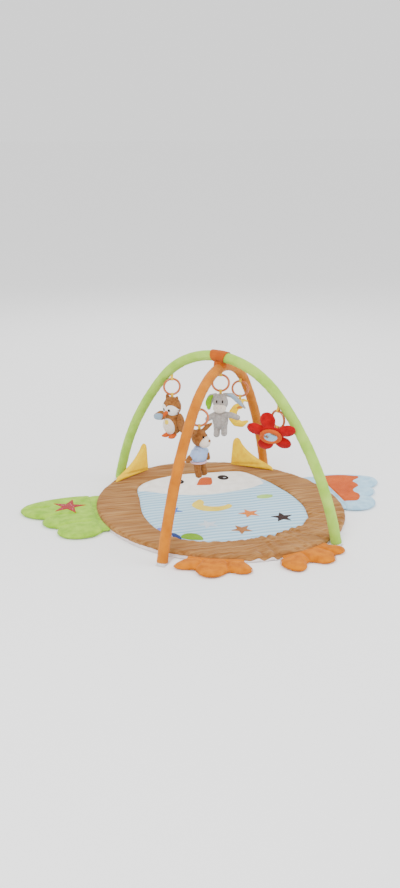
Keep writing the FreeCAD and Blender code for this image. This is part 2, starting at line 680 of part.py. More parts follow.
def flower_frame():
    """The flower's own frame: its face looks along local +Z, its top petal is near local +Y."""
    upright = Rotation(Vector(1, 0, 0), 90 + FLOWER_TILT)
    wide = size("flower_wide")
    return Placement(Vector(-0.08 * wide, -0.335 * wide, -0.04 * wide), upright)


def petal_outline():
    """A smooth outline with one round lobe for each petal."""
    rim, waist = 0.5 * size("flower_wide"), 0.27 * size("flower_wide")
    points = []
    for k in range(8 * PETALS):
        angle = 2 * math.pi * k / (8 * PETALS)
        lobe = abs(math.cos(0.5 * PETALS * (angle - math.radians(FIRST_PETAL)))) ** 0.6
        reach = waist + (rim - waist) * lobe
        points.append((reach * math.cos(angle), reach * math.sin(angle)))
    return smooth(points)


flower = pad("flower_plush", petal_outline(), "0 - flower_thick / 2", Length="flower_thick")
front = size("flower_thick") / 2
collar_outer = solid("Cylinder", "collar_outer", at(z=front), Radius="flower_wide * 0.225",
                     Height="collar_thick")
collar_inner = solid("Cylinder", "collar_inner", at(z=front), Radius="flower_wide * 0.145",
                     Height="collar_thick")
collar = cut("collar", collar_outer, collar_inner)
glass = solid("Cylinder", "glass", at(z=front), Radius="flower_wide * 0.144", Height="glass_thick")

TOYS = {
    "owl": [(owl, "owl_body"), (owl_wings, "owl_wings"), (owl_feet, "owl_feet")],
    "deer": [(deer_head, "deer_head"), (deer_body, "deer_body"), (deer_limbs_trimmed, "deer_limbs")],
    "donkey": [(donkey_head, "donkey_head"), (donkey_ears, "donkey_ears"), (donkey_body, "donkey_body")],
    "moon": [(moon, "moon_body")],
    "flower": [(flower, "flower_petals"), (collar, "flower_collar"), (glass, "flower_mirror")],
}
placed_first = {}
for toy, pieces in TOYS.items():
    place = toy_place(toy)
    if toy == "flower":
        place = place.multiply(flower_frame())
    for number, (piece, label) in enumerate(pieces):
        standing = doc.addObject("Part::Compound", f"{label}_placed")
        standing.Links = [piece]
        standing.Placement = place
        sub_part(standing, label)
        if number == 0:
            placed_first[toy] = standing
doc.recompute()
for toy, body in placed_first.items():
    toy_loop(toy, body)

# ------------------------------------------------------------------ check and write

doc.recompute()
for thing in doc.Objects:
    if "Invalid" in thing.State or "Error" in thing.State:
        raise SystemExit(f"{thing.Name} failed: {thing.State}")
for thing in sub_parts:
    if thing.Shape.isNull() or not thing.Shape.isValid() or not thing.Shape.Solids:
        raise SystemExit(f"{thing.Label} has no valid shape")

os.makedirs("parts", exist_ok=True)
for thing in sub_parts:
    thing.Shape.exportStep(f"parts/{thing.Label}.step")
print(f"{len(sub_parts)} sub-parts written")
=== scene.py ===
"""Looks of the activity play gym: its padded mat, flaps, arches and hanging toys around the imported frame.

Tables of shapes are in millimetres and degrees. Meshes are in metres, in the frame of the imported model:
the origin is on the floor under the mat, +Y runs to the ears and +Z up. The arches cross over the mat's
centre, which is 11 mm to the left of the origin and 41 mm in front of it.
"""

import json
import math

import bmesh
import bpy
import numpy as np
from mathutils import Matrix, Vector
from mathutils.bvhtree import BVHTree
from mathutils.geometry import delaunay_2d_cdt


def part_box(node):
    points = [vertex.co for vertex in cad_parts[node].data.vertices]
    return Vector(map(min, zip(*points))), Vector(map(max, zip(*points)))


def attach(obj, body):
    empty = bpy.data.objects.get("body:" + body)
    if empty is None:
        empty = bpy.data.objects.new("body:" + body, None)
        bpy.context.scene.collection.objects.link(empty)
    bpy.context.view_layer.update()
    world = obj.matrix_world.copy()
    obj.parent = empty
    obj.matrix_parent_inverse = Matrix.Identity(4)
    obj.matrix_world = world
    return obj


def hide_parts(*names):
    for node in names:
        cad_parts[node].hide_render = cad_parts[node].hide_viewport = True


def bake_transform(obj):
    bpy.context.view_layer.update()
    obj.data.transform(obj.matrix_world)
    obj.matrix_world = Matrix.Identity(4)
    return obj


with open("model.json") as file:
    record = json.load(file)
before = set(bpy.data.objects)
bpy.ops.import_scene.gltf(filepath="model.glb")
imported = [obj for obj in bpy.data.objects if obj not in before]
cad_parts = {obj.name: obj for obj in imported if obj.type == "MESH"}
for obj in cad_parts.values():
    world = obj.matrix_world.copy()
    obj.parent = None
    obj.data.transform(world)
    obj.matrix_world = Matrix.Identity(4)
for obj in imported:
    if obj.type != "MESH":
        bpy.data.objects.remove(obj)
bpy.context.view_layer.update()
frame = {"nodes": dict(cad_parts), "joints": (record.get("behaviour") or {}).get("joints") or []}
NODES = frame["nodes"]
JOINTS = {joint["name"]: joint for joint in frame["joints"]}
MM = 0.001
UP = np.array((0.0, 0.0, 1.0))

# ------------------------------------------------------------------ camera, floor and light

AIM = Vector((-0.043, 0.096, 0.1919))
VIEW_AZIMUTH = math.radians(-14.33)
VIEW_ELEVATION = math.radians(18.89)
VIEW_DISTANCE = 3.312
LENS = 38.85


def look_along(thing, place, target):
    thing.location = place
    thing.rotation_mode = "QUATERNION"
    thing.rotation_quaternion = (Vector(target) - Vector(place)).to_track_quat("-Z", "Y")


def make_camera():
    camera = bpy.data.objects.new("camera", bpy.data.cameras.new("camera"))
    bpy.context.scene.collection.objects.link(camera)
    back = Vector((math.sin(VIEW_AZIMUTH) * math.cos(VIEW_ELEVATION),
                   -math.cos(VIEW_AZIMUTH) * math.cos(VIEW_ELEVATION), math.sin(VIEW_ELEVATION)))
    look_along(camera, AIM + back * VIEW_DISTANCE, AIM)
    camera.data.lens = LENS
    bpy.context.scene.camera = camera


def soft_light(name, place, size, power):
    data = bpy.data.lights.new(name, "AREA")
    data.shape = "DISK"
    data.size = size
    data.energy = power
    light = bpy.data.objects.new(name, data)
    bpy.context.scene.collection.objects.link(light)
    look_along(light, place, (0, 0, 0.2))


def make_studio():
    soft_light("key", (-1.6, -2.2, 2.9), 2.0, 105)
    soft_light("fill", (2.6, -1.2, 2.2), 2.6, 60)
    soft_light("back", (0.4, 2.8, 2.4), 2.6, 45)
    world = bpy.data.worlds.new("studio")
    world.use_nodes = True
    background = world.node_tree.nodes["Background"]
    background.inputs["Color"].default_value = (1.0, 1.0, 1.0, 1.0)
    background.inputs["Strength"].default_value = 1.35
    bpy.context.scene.world = world
    bpy.ops.mesh.primitive_plane_add(size=60.0, location=(0, 20.0, 0))
    floor = bpy.context.object
    floor.name = "floor"
    pale = Finish("pale_floor", Roughness=0.9)
    pale.shader.inputs["Base Color"].default_value = colour("#FCFCFC")
    floor.data.materials.append(pale.material)


# ------------------------------------------------------------------ finishes


def colour(code):
    """A screen colour such as #B58B5E as the linear colour that a shader takes."""
    parts = [int(code[k:k + 2], 16) / 255 for k in (1, 3, 5)]
    return tuple(p / 12.92 if p <= 0.04045 else ((p + 0.055) / 1.055) ** 2.4 for p in parts) + (1.0,)


class Finish:
    """A node material in the making. Its textures are placed by the piece's own coordinates."""

    def __init__(self, name, **sockets):
        self.material = bpy.data.materials.new(name)
        self.material.use_nodes = True
        self.tree = self.material.node_tree
        self.shader = self.tree.nodes["Principled BSDF"]
        for socket, value in sockets.items():
            self.shader.inputs[socket.replace("_", " ")].default_value = value
        self.place = self.node("TexCoord").outputs["Object"]

    def node(self, kind, inputs=None, **settings):
        made = self.tree.nodes.new(f"ShaderNode{kind}")
        for name, value in settings.items():
            setattr(made, name, value)
        for name, value in (inputs or {}).items():
            if isinstance(value, bpy.types.NodeSocket):
                self.tree.links.new(value, made.inputs[name])
            else:
                made.inputs[name].default_value = value
        return made

    def noise(self, size, detail=2.0, stretch=(1.0, 1.0, 1.0)):
        """Cloudy values whose features are about size metres across, longer along a small stretch."""
        turned = self.node("Mapping", {"Vector": self.place, "Scale": stretch})
        cloud = self.node("TexNoise", {"Vector": turned.outputs["Vector"], "Scale": 1.0 / size,
                                       "Detail": detail})
        return cloud.outputs["Fac"]

    def bands(self, pitch, axis, waviness=0.0, detail=1.0):
        """Parallel bands across an axis, pitch metres apart."""
        wave = self.node("TexWave", {"Vector": self.place, "Scale": math.tau / 20 / pitch,
                                     "Distortion": waviness, "Detail": detail},
                         bands_direction=axis)
        return wave.outputs["Fac"]

    def spread(self, value, low, high, start=0.0, end=1.0):
        """The value's range from low to high stretched to start and end."""
        made = self.node("MapRange", {"Value": value, "From Min": low, "From Max": high,
                                      "To Min": start, "To Max": end})
        return made.outputs["Result"]

    def times(self, a, b):
        return self.node("Math", {0: a, 1: b}, operation="MULTIPLY").outputs[0]

    def plus(self, a, b):
        return self.node("Math", {0: a, 1: b}, operation="ADD").outputs[0]

    def mix(self, amount, a, b):
        return self.node("Mix", {0: amount, 6: a, 7: b}, data_type="RGBA").outputs[2]

    def bump(self, height, distance, normal=None):
        inputs = {"Height": height, "Distance": distance, "Strength": 1.0}
        if normal is not None:
            inputs["Normal"] = normal
        return self.node("Bump", inputs).outputs["Normal"]

    def done(self, tint, normal=None):
        self.tree.links.new(tint, self.shader.inputs["Base Color"])
        if normal is not None:
            self.tree.links.new(normal, self.shader.inputs["Normal"])
        return self.material


def plush(name, light, deep, pile=1.1, clump=9.0, sheen=0.35, streak=None):
    """Short-pile plush or velour: clumps of pile, fine fibre grain and a soft sheen."""
    made = Finish(name, Roughness=0.92, Sheen_Weight=sheen * 0.35, Sheen_Roughness=0.45)
    made.shader.inputs["Specular IOR Level"].default_value = 0.15
    stretch = streak or (1.0, 1.0, 1.0)
    clumps = made.noise(clump * MM, 3.0, stretch)
    fibres = made.noise(pile * MM, 2.0, stretch)
    tint = made.mix(made.spread(clumps, 0.32, 0.68), colour(deep), colour(light))
    tint = made.mix(made.spread(fibres, 0.3, 0.75, 0.28, 0.0), tint, colour(deep))
    normal = made.bump(clumps, 0.9 * MM)
    return made.done(tint, made.bump(fibres, 0.5 * MM, normal))


def woven(name, light, deep, thread=0.9, axes=("X", "Y"), sheen=0.15, roughness=0.85):
    """Plain woven or fine knitted cloth: two sets of threads and a little fading."""
    made = Finish(name, Roughness=roughness, Sheen_Weight=sheen * 0.35, Sheen_Roughness=0.5)
    made.shader.inputs["Specular IOR Level"].default_value = 0.2
    threads = made.plus(made.bands(thread * MM, axes[0]), made.bands(thread * MM, axes[1]))
    fade = made.noise(0.045, 3.0)
    tint = made.mix(made.spread(fade, 0.3, 0.7), colour(deep), colour(light))
    tint = made.mix(made.spread(threads, 0.0, 2.0, 0.18, 0.0), tint, colour(deep))
    normal = made.bump(made.noise(0.006, 2.0), 0.5 * MM)
    return made.done(tint, made.bump(threads, 0.25 * MM, normal))


def ribbed_velour(name):
    """The border's brown velour: soft ribs and streaks that run along X."""
    made = Finish(name, Roughness=0.9, Sheen_Weight=0.08, Sheen_Roughness=0.4)
    made.shader.inputs["Specular IOR Level"].default_value = 0.15
    streaks = made.noise(0.011, 3.0, (0.07, 1.0, 1.0))
    broad = made.noise(0.06, 3.0, (0.35, 1.0, 1.0))
    ribs = made.bands(0.0062, "Y", 3.0, 2.0)
    fibres = made.noise(0.0012, 2.0, (0.4, 1.0, 1.0))
    tint = made.mix(made.spread(streaks, 0.34, 0.66), colour("#8C5A2C"), colour("#C0925A"))
    tint = made.mix(made.spread(broad, 0.35, 0.7, 0.45, 0.0), tint, colour("#85521F"))
    tint = made.mix(made.spread(ribs, 0.0, 1.0, 0.20, 0.0), tint, colour("#74481C"))
    tint = made.mix(made.spread(fibres, 0.3, 0.75, 0.2, 0.0), tint, colour("#744A22"))
    normal = made.bump(made.plus(made.times(ribs, 0.5), streaks), 1.2 * MM)
    return made.done(tint, made.bump(fibres, 0.5 * MM, normal))


def striped_jersey(name):
    """The belly's pale blue jersey: wide soft stripes with a fine darker line, along X."""
    made = Finish(name, Roughness=0.82, Sheen_Weight=0.04, Sheen_Roughness=0.5)
    made.shader.inputs["Specular IOR Level"].default_value = 0.2
    stripes = made.bands(0.0215, "Y", 0.9, 1.0)
    knit = made.plus(made.bands(0.0011, "X"), made.bands(0.0011, "Y"))
    tint = made.mix(made.spread(stripes, 0.2, 0.8), colour("#92C6E6"), colour("#CFEDFF"))
    tint = made.mix(made.spread(made.noise(0.08, 2.0), 0.35, 0.7, 0.3, 0.0), tint, colour("#C0DCE6"))
    tint = made.mix(made.spread(knit, 0.0, 2.0, 0.15, 0.0), tint, colour("#93B8C9"))
    normal = made.bump(made.noise(0.02, 2.0, (0.3, 1.0, 1.0)), 1.6 * MM)
    return made.done(tint, made.bump(knit, 0.25 * MM, normal))


def printed(name, ground, spot, size=0.0035, share=0.56):
    """A small two-colour print."""
    made = Finish(name, Roughness=0.85, Sheen_Weight=0.1)
    dots = made.node("TexVoronoi", {"Vector": made.place, "Scale": 1.0 / size, "Randomness": 0.8})
    cover = made.spread(dots.outputs["Distance"], share - 0.08, share + 0.08)
    threads = made.plus(made.bands(0.0009, "X"), made.bands(0.0009, "Y"))
    tint = made.mix(cover, colour(ground), colour(spot))
    return made.done(tint, made.bump(threads, 0.25 * MM))


def moulded(name, light, deep, roughness=0.35, coat=0.0, metal=0.0, grain=0.0008, relief=0.03):
    """Moulded plastic or metal: an even colour with faint flow marks and a fine skin."""
    made = Finish(name, Roughness=roughness, Coat_Weight=coat, Metallic=metal)
    flow = made.noise(0.02, 3.0)
    tint = made.mix(made.spread(flow, 0.3, 0.7), colour(deep), colour(light))
    return made.done(tint, made.bump(made.noise(grain, 2.0), relief * MM))


def foam_finish(name):
    made = Finish(name, Roughness=0.95)
    cells = made.node("TexVoronoi", {"Vector": made.place, "Scale": 900.0})
    tint = made.mix(made.spread(cells.outputs["Distance"], 0.1, 0.7), colour("#C9C9C0"), colour("#E8E8E2"))
    return made.done(tint, made.bump(cells.outputs["Distance"], 0.4 * MM))


FINISHES = {
    "brown_velour": ribbed_velour("brown_velour"),
    "belly_stripe": striped_jersey("belly_stripe"),
    "face_fabric": plush("face_fabric", "#F8F4EF", "#E6E0D8", 1.0, 30.0, 0.2),
    "backing_cotton": woven("backing_cotton", "#F7EDEB", "#E6D6D4", 0.8),
    "wadding": plush("wadding", "#F4F4F2", "#E2E2DF", 0.8, 20.0, 0.1),
    "dark_brown_felt": plush("dark_brown_felt", "#2E1F1B", "#170F0D", 0.7, 6.0, 0.1),
    "eye_glint": plush("eye_glint", "#C9CCD2", "#8E9096", 0.7, 6.0, 0.1),
    "orange_fabric": woven("orange_fabric", "#E06412", "#C24C04", 0.8),
    "beak_orange": woven("beak_orange", "#D85C06", "#BE4A00", 0.8),
    "yellow_fabric": plush("yellow_fabric", "#FFD800", "#F4C000", 0.9, 16.0, 0.05),
    "pale_yellow": woven("pale_yellow", "#FFE256", "#F2CE3A", 0.9),
    "star_orange": woven("star_orange", "#EC8A34", "#D66E18", 0.9),
    "star_brown": woven("star_brown", "#3A1E19", "#2A120F", 0.9),
    "star_tan": woven("star_tan", "#B97D46", "#9E6230", 0.9),
    "star_white": woven("star_white", "#E2EAF2", "#CFDCE8", 0.9),
    "star_blue": woven("star_blue", "#4A82D0", "#3A6CBC", 0.9),
    "navy_fabric": woven("navy_fabric", "#34498A", "#263874", 0.9),
    "lilac_fabric": woven("lilac_fabric", "#8A92DA", "#747CC8", 0.9),
    "lime_fabric": woven("lime_fabric", "#86B81E", "#70A010", 0.9),
    "lime_pale": woven("lime_pale", "#B4DC76", "#A0CC5C", 0.9),
    "hook_tape": woven("hook_tape", "#DEDEDA", "#BEBEB9", 1.6),
    "lime_velour": plush("lime_velour", "#A6D042", "#82B226", 1.0, 26.0, 0.3),
    "red_print": printed("red_print", "#F0C4C6", "#A00014", 0.0075, 0.17),
    "pale_blue_fabric": plush("pale_blue_fabric", "#BADDF2", "#9AC4DC", 1.0, 24.0, 0.25),
    "orange_velour": plush("orange_velour", "#D07A00", "#B26000", 1.0, 22.0, 0.2),
    "orange_sleeve": woven("orange_sleeve", "#D27E00", "#B86600", 1.0, ("Z", "X"), 0.25),
    "orange_strap": woven("orange_strap", "#CA6400", "#B05000", 1.0, ("Z", "X"), 0.2),
    "green_sleeve": woven("green_sleeve", "#B6DC5C", "#9AC93E", 1.0, ("Z", "X"), 0.25),
    "foam": foam_finish("foam"),
    "fibreglass": moulded("fibreglass", "#EFEBDD", "#DDD8C6", 0.4, 0.0, 0.0, 0.0006, 0.08),
    "steel": moulded("steel", "#B9BCC1", "#9A9DA3", 0.3, 0.0, 1.0, 0.0004, 0.02),
    "plug_plastic": moulded("plug_plastic", "#DCDCDC", "#CDCDCE", 0.5, 0.0, 0.0, 0.0008, 0.05),
    "stud_plastic": moulded("stud_plastic", "#F08A30", "#E27A22", 0.35, 0.2),
    "ring_plastic": moulded("ring_plastic", "#C86820", "#AC500C", 0.22, 0.5),
    "yellow_tape": woven("yellow_tape", "#F8CE3A", "#ECB81E", 0.7),
    "brown_plush": plush("brown_plush", "#A36C38", "#7A4A22", 1.0, 7.0, 0.35),
    "cream_plush": plush("cream_plush", "#F1E6DA", "#DDCDBD", 1.0, 7.0, 0.3),
    "grey_plush": plush("grey_plush", "#B4ADA8", "#938C87", 1.0, 7.0, 0.35),
    "blue_grey_cloth": woven("blue_grey_cloth", "#A4BACD", "#8AA2B8", 0.8),
    "jumper_blue": woven("jumper_blue", "#B4CBF0", "#9AB4E2", 1.6),
    "pink_cloth": woven("pink_cloth", "#EBC9D6", "#DDB3C3", 1.2),
    "red_velour": plush("red_velour", "#B80008", "#920004", 0.9, 18.0, 0.3),
    "red_dark": plush("red_dark", "#800006", "#680002", 0.9, 18.0, 0.2),
    "mirror_film": moulded("mirror_film", "#D8DEE2", "#CBD2D8", 0.08, 0.3, 1.0, 0.02, 0.15),
}

# ------------------------------------------------------------------ outlines and plain mesh helpers


def closed_curve(points, count, corners=()):
    """Evenly spaced points along a closed smooth curve. It turns sharply at the numbered corners."""
    knots = np.array(points, float)
    total = len(knots)
    runs = []
    for i in range(total):
        before, here, there, after = (knots[(i + k) % total] for k in (-1, 0, 1, 2))
        step = np.linalg.norm(there - here)
        leave = (there - before) * step / (step + np.linalg.norm(here - before))
        arrive = (after - here) * step / (step + np.linalg.norm(after - there))
        if i in corners:
            leave = there - here
        if (i + 1) % total in corners:
            arrive = there - here
        t = np.linspace(0, 1, 24, endpoint=False)[:, None]
        runs.append((2 * t**3 - 3 * t**2 + 1) * here + (t**3 - 2 * t**2 + t) * leave
                    + (3 * t**2 - 2 * t**3) * there + (t**3 - t**2) * arrive)
    return respaced(np.vstack(runs), count)


def respaced(points, count, closed=True):
    """The same line as evenly spaced points."""
    line = np.vstack([points, points[:1]]) if closed else np.asarray(points, float)
    lengths = np.concatenate([[0], np.cumsum(np.linalg.norm(np.diff(line, axis=0), axis=1))])
    wanted = np.linspace(0, lengths[-1], count, endpoint=not closed)
    return np.stack([np.interp(wanted, lengths, column) for column in line.T], axis=1)


def distance_to(points, line, closed=False):
    """How far each point is from a line of points."""
    starts = line if closed else line[:-1]
    sides = (np.roll(line, -1, axis=0) - line) if closed else np.diff(line, axis=0)
    squares = np.maximum((sides**2).sum(axis=1), 1e-18)
    nearest = np.full(len(points), np.inf)
    for start, side, square in zip(starts, sides, squares):
        along = np.clip(((points - start) @ side) / square, 0, 1)
        gap = np.linalg.norm(points - start - along[:, None] * side, axis=1)
        nearest = np.minimum(nearest, gap)
    return nearest


def lumps(points, size, seed, waves=7):
    """Smooth uneven values from about -1 to 1 over points, with features about size across."""
    rng = np.random.default_rng(seed)
    heading = rng.normal(size=(waves, np.shape(points)[1]))
    heading /= np.linalg.norm(heading, axis=1)[:, None]
    heading *= rng.uniform(0.7, 1.5, waves)[:, None] * math.tau / size
    return 1.6 * np.sin(np.asarray(points) @ heading.T + rng.uniform(0, math.tau, waves)).mean(axis=1)


def mesh_piece(name, vertices, faces, finish):
    mesh = bpy.data.meshes.new(name)
    mesh.from_pydata([tuple(v) for v in vertices], [], [tuple(f) for f in faces])
    mesh.update()
    piece = bpy.data.objects.new(name, mesh)
    bpy.context.scene.collection.objects.link(piece)
    piece.data.materials.append(FINISHES[finish])
    outwards(piece)
    mesh.polygons.foreach_set("use_smooth", [True] * len(mesh.polygons))
    return piece


def outwards(piece):
    """Turn every face of a closed mesh outwards."""
    work = bmesh.new()
    work.from_mesh(piece.data)
    bmesh.ops.recalc_face_normals(work, faces=work.faces)
    work.to_mesh(piece.data)
    work.free()


def points_of(piece):
    flat = np.empty(len(piece.data.vertices) * 3)
    piece.data.vertices.foreach_get("co", flat)
    return flat.reshape(-1, 3)


def set_points(piece, points):
    piece.data.vertices.foreach_set("co", np.asarray(points, float).ravel())
    piece.data.update()


def grid_faces(rows, columns, around=True):
    """Quads between rows of points; around joins the last column to the first."""
    faces = []
    for row in range(rows - 1):
        for column in range(columns if around else columns - 1):
            other = (column + 1) % columns
            faces.append((row * columns + column, row * columns + other,
                          (row + 1) * columns + other, (row + 1) * columns + column))
    return faces


def sweep(name, path, normal, wide, thick, finish, closed=False, square=1.0, sides=16):
    """A bar along a path: wide is its half width across the given normal, thick its half height along it.

    Both may change along the path. A square of 1 makes it round, and less makes its corners fuller.
    """
    path = np.asarray(path, float)
    count = len(path)
    if closed:
        heading = np.roll(path, -1, axis=0) - np.roll(path, 1, axis=0)
    else:
        heading = np.gradient(path, axis=0)
    heading /= np.linalg.norm(heading, axis=1)[:, None]
    across = np.cross(heading, np.broadcast_to(normal, path.shape))
    across /= np.linalg.norm(across, axis=1)[:, None]
    over = np.cross(across, heading)
    wide = np.broadcast_to(wide, count)
    thick = np.broadcast_to(thick, count)
    turns = np.linspace(0, math.tau, sides, endpoint=False)
    side_share = np.sign(np.cos(turns)) * np.abs(np.cos(turns)) ** square
    top_share = np.sign(np.sin(turns)) * np.abs(np.sin(turns)) ** square
    points = (path[:, None] + across[:, None] * (wide[:, None] * side_share)[..., None]
              + over[:, None] * (thick[:, None] * top_share)[..., None]).reshape(-1, 3)
    faces = grid_faces(count, sides)
    if closed:
        last = (count - 1) * sides
        faces += [(last + k, last + (k + 1) % sides, (k + 1) % sides, k) for k in range(sides)]
    else:
        faces += [tuple(range(sides)), tuple(range((count - 1) * sides, count * sides))]
    return mesh_piece(name, points, faces, finish)


def joined(name, pieces):
    """Several pieces made one, under one name."""
    for piece in bpy.context.selected_objects:
        piece.select_set(False)
    for piece in pieces:
        piece.select_set(True)
    bpy.context.view_layer.objects.active = pieces[0]
    bpy.ops.object.join()
    whole = bpy.context.view_layer.objects.active
    whole.name = name
    whole.select_set(False)
    return whole


def stitches(name, path, normal, finish, length=3.2, gap=2.2, radius=0.45, closed=True):
    """A row of thread stitches along a path."""
    line = np.vstack([path, path[:1]]) if closed else np.asarray(path)
    total = np.linalg.norm(np.diff(line, axis=0), axis=1).sum() / MM
    count = max(3, int(total / (length + gap)))
    share = length / (length + gap)
    knots = respaced(line, 4 * count + 1, closed=False)
    points, faces = [], []
    for k in range(count):
        start, end = knots[4 * k], knots[4 * k + 4]
        heading = (end - start) * share
        across = np.cross(heading, normal)
        across *= radius * MM / np.linalg.norm(across)
        over = np.asarray(normal) * radius * MM
        base = len(points)
        for t, size in ((0, 0.35), (0.2, 1), (0.8, 1), (1, 0.35)):
            centre = start + heading * t
            points += [centre + across * size, centre + over * size,
                       centre - across * size, centre - over * size]
        faces += [tuple(base + v for v in face) for face in grid_faces(4, 4)]
        faces += [tuple(base + v for v in (0, 1, 2, 3)), tuple(base + v for v in (12, 13, 14, 15))]
    return mesh_piece(name, points, faces, finish)


# a point nearer than this to its outline lies on it
ON_RIM = 1e-6


def filled(outline, spacing, margins=(0.12, 0.35, 0.7)):
    """An even net of triangles inside a closed outline, finer towards the edge: its points and triangles.

    Some of the points are outside the outline, and no triangle uses those.
    """
    outline = np.asarray(outline, float)
    heading = np.roll(outline, -1, axis=0) - np.roll(outline, 1, axis=0)
    inwards = np.stack([-heading[:, 1], heading[:, 0]], axis=1)
    inwards /= np.linalg.norm(inwards, axis=1)[:, None]
    area = (outline[:, 0] * np.roll(outline[:, 1], -1) - outline[:, 1] * np.roll(outline[:, 0], -1)).sum()
    inwards *= math.copysign(1.0, area)
    inside = []
    for margin in margins:
        loop = outline + inwards * margin * spacing
        inside.append(loop[distance_to(loop, outline, True) > 0.93 * margin * spacing])
    low, high = outline.min(axis=0), outline.max(axis=0)
    rows = np.arange(low[1], high[1], spacing * 0.866)
    for k, y in enumerate(rows):
        xs = np.arange(low[0] + (k % 2) * spacing / 2, high[0], spacing)
        inside.append(np.stack([xs, np.full(len(xs), y)], axis=1))
    grid = np.vstack(inside[len(margins):])
    grid = grid[distance_to(grid, outline, True) > (margins[-1] + 0.5) * spacing]
    every = np.vstack([outline] + inside[:len(margins)] + [grid])
    corners = [Vector(p) for p in every]
    loop = list(range(len(outline)))
    made = delaunay_2d_cdt(corners, [], [loop], 1, 1e-7)
    return np.array([tuple(p) for p in made[0]]), [tuple(f) for f in made[2]]


def closed_shell(name, upper, lower, faces, rim, finish):
    """A mesh of two skins over one net of triangles, which share the points at its rim."""
    index = np.arange(len(upper))
    index[~rim] = len(upper) + np.arange((~rim).sum())
    points = np.vstack([upper, lower[~rim]])
    faces = faces + [tuple(int(index[v]) for v in face[::-1]) for face in faces]
    return mesh_piece(name, points, faces, finish)


def crown(distance, width):
    """The share of full height at a distance in from a rounded edge of that width."""
    near = np.clip(distance / width, 0, 1)
    return np.sqrt(np.maximum(0, 1 - (1 - near) ** 2))


CHANNEL_WIDTH = 5 * MM
CHANNEL_DEPTH = 0.7


def cushion(name, outline, finish, top, bottom, edge, spacing, place, puff, seams=()):
    """A stuffed flat shape. Its outline lies in a plane, and top and bottom are its heights over the plane.

    edge is the height of its seam, puff the width of its rounded edge, and seams are sewn channels.
    """
    flat, faces = filled(outline, spacing)
    distance = distance_to(flat, outline, True)
    rim = distance < ON_RIM
    rise = crown(distance, puff)
    for seam in seams:
        near = distance_to(flat, np.array(seam, float) * MM)
        rise = rise * (1 - CHANNEL_DEPTH * np.exp(-(near / CHANNEL_WIDTH) ** 2))
    upper = np.column_stack([flat, edge + (top - edge) * rise])
    lower = np.column_stack([flat, edge + (bottom - edge) * rise])
    piece = closed_shell(name, upper, lower, faces, rim, finish)
    piece.data.transform(place)
    return piece


CLOTH_STIFFNESS = 15.0
CLOTH_FRAMES = 20


def under_pressure(piece, cap, pressure):
    """Let the cover of a stuffed piece swell like cloth, moving no point further than the cap."""
    before = points_of(piece)
    cloth = piece.modifiers.new("cloth", "CLOTH")
    cloth.settings.quality = 6
    cloth.settings.mass = 0.3
    cloth.settings.tension_stiffness = CLOTH_STIFFNESS
    cloth.settings.compression_stiffness = CLOTH_STIFFNESS
    cloth.settings.shear_stiffness = CLOTH_STIFFNESS / 3
    cloth.settings.bending_stiffness = 0.1
    cloth.settings.use_pressure = True
    cloth.settings.uniform_pressure_force = pressure
    cloth.settings.effector_weights.gravity = 0.0
    scene = bpy.context.scene
    for number in range(1, CLOTH_FRAMES + 1):
        scene.frame_set(number)
    swollen = piece.evaluated_get(bpy.context.evaluated_depsgraph_get())
    flat = np.empty(len(before) * 3)
    swollen.data.vertices.foreach_get("co", flat)
    move = flat.reshape(-1, 3) - before
    reach = np.linalg.norm(move, axis=1)[:, None]
    move *= np.minimum(1, cap / np.maximum(reach, 1e-9))
    piece.modifiers.remove(cloth)
    scene.frame_set(1)
    set_points(piece, before + move)


def applied(piece, kind, **settings):
    """Add one modifier to a piece and make its result the mesh."""
    modifier = piece.modifiers.new(kind, kind)
    for name, value in settings.items():
        setattr(modifier, name, value)
    result = bpy.data.meshes.new_from_object(piece.evaluated_get(bpy.context.evaluated_depsgraph_get()))
    piece.modifiers.clear()
    result.name = piece.name
    piece.data = result
    piece.data.polygons.foreach_set("use_smooth", [True] * len(piece.data.polygons))
    return piece


def remeshed(piece, voxel):
    return applied(piece, "REMESH", mode="VOXEL", voxel_size=voxel, use_smooth_shade=True)


def relaxed(piece, rounds):
    return applied(piece, "SMOOTH", factor=0.5, iterations=rounds)


def finer(piece):
    return applied(piece, "SUBSURF", levels=1, render_levels=1)


def ellipsoid(work, centre, radii, turn=(0, 0, 0), taper=0.0):
    """Add one round form to a mesh in the making; taper narrows it towards its own top."""
    made = bmesh.ops.create_icosphere(work, subdivisions=4, radius=1.0)
    for vertex in made["verts"]:
        narrow = 1 - taper * vertex.co.z
        vertex.co = Vector((vertex.co.x * narrow * radii[0], vertex.co.y * narrow * radii[1],
                            vertex.co.z * radii[2]))
        vertex.co.rotate(Matrix.Rotation(math.radians(turn[2]), 3, "Z")
                         @ Matrix.Rotation(math.radians(turn[1]), 3, "Y")
                         @ Matrix.Rotation(math.radians(turn[0]), 3, "X"))
        vertex.co = (vertex.co + Vector(centre)) * MM


def stuffed(name, forms, finish, place, voxel=1.7, rounds=5, unevenness=0.5, seed=1):
    """A stuffed plush shape: round forms grown together, relaxed, and made a little uneven."""
    work = bmesh.new()
    for form in forms:
        ellipsoid(work, *form)
    mesh = bpy.data.meshes.new(name)
    work.to_mesh(mesh)
    work.free()
    piece = bpy.data.objects.new(name, mesh)
    bpy.context.scene.collection.objects.link(piece)
    piece.data.materials.append(FINISHES[finish])
    remeshed(piece, voxel * MM)
    relaxed(piece, rounds)
    piece.data.materials.clear()
    piece.data.materials.append(FINISHES[finish])
    points = points_of(piece)
    away = points - points.mean(axis=0)
    away /= np.maximum(np.linalg.norm(away, axis=1), 1e-9)[:, None]
    bumps = lumps(points, 0.022, seed) + 0.5 * lumps(points, 0.009, seed + 1)
    set_points(piece, points + away * (unevenness * MM * bumps)[:, None])
    piece.data.transform(place)
    return piece


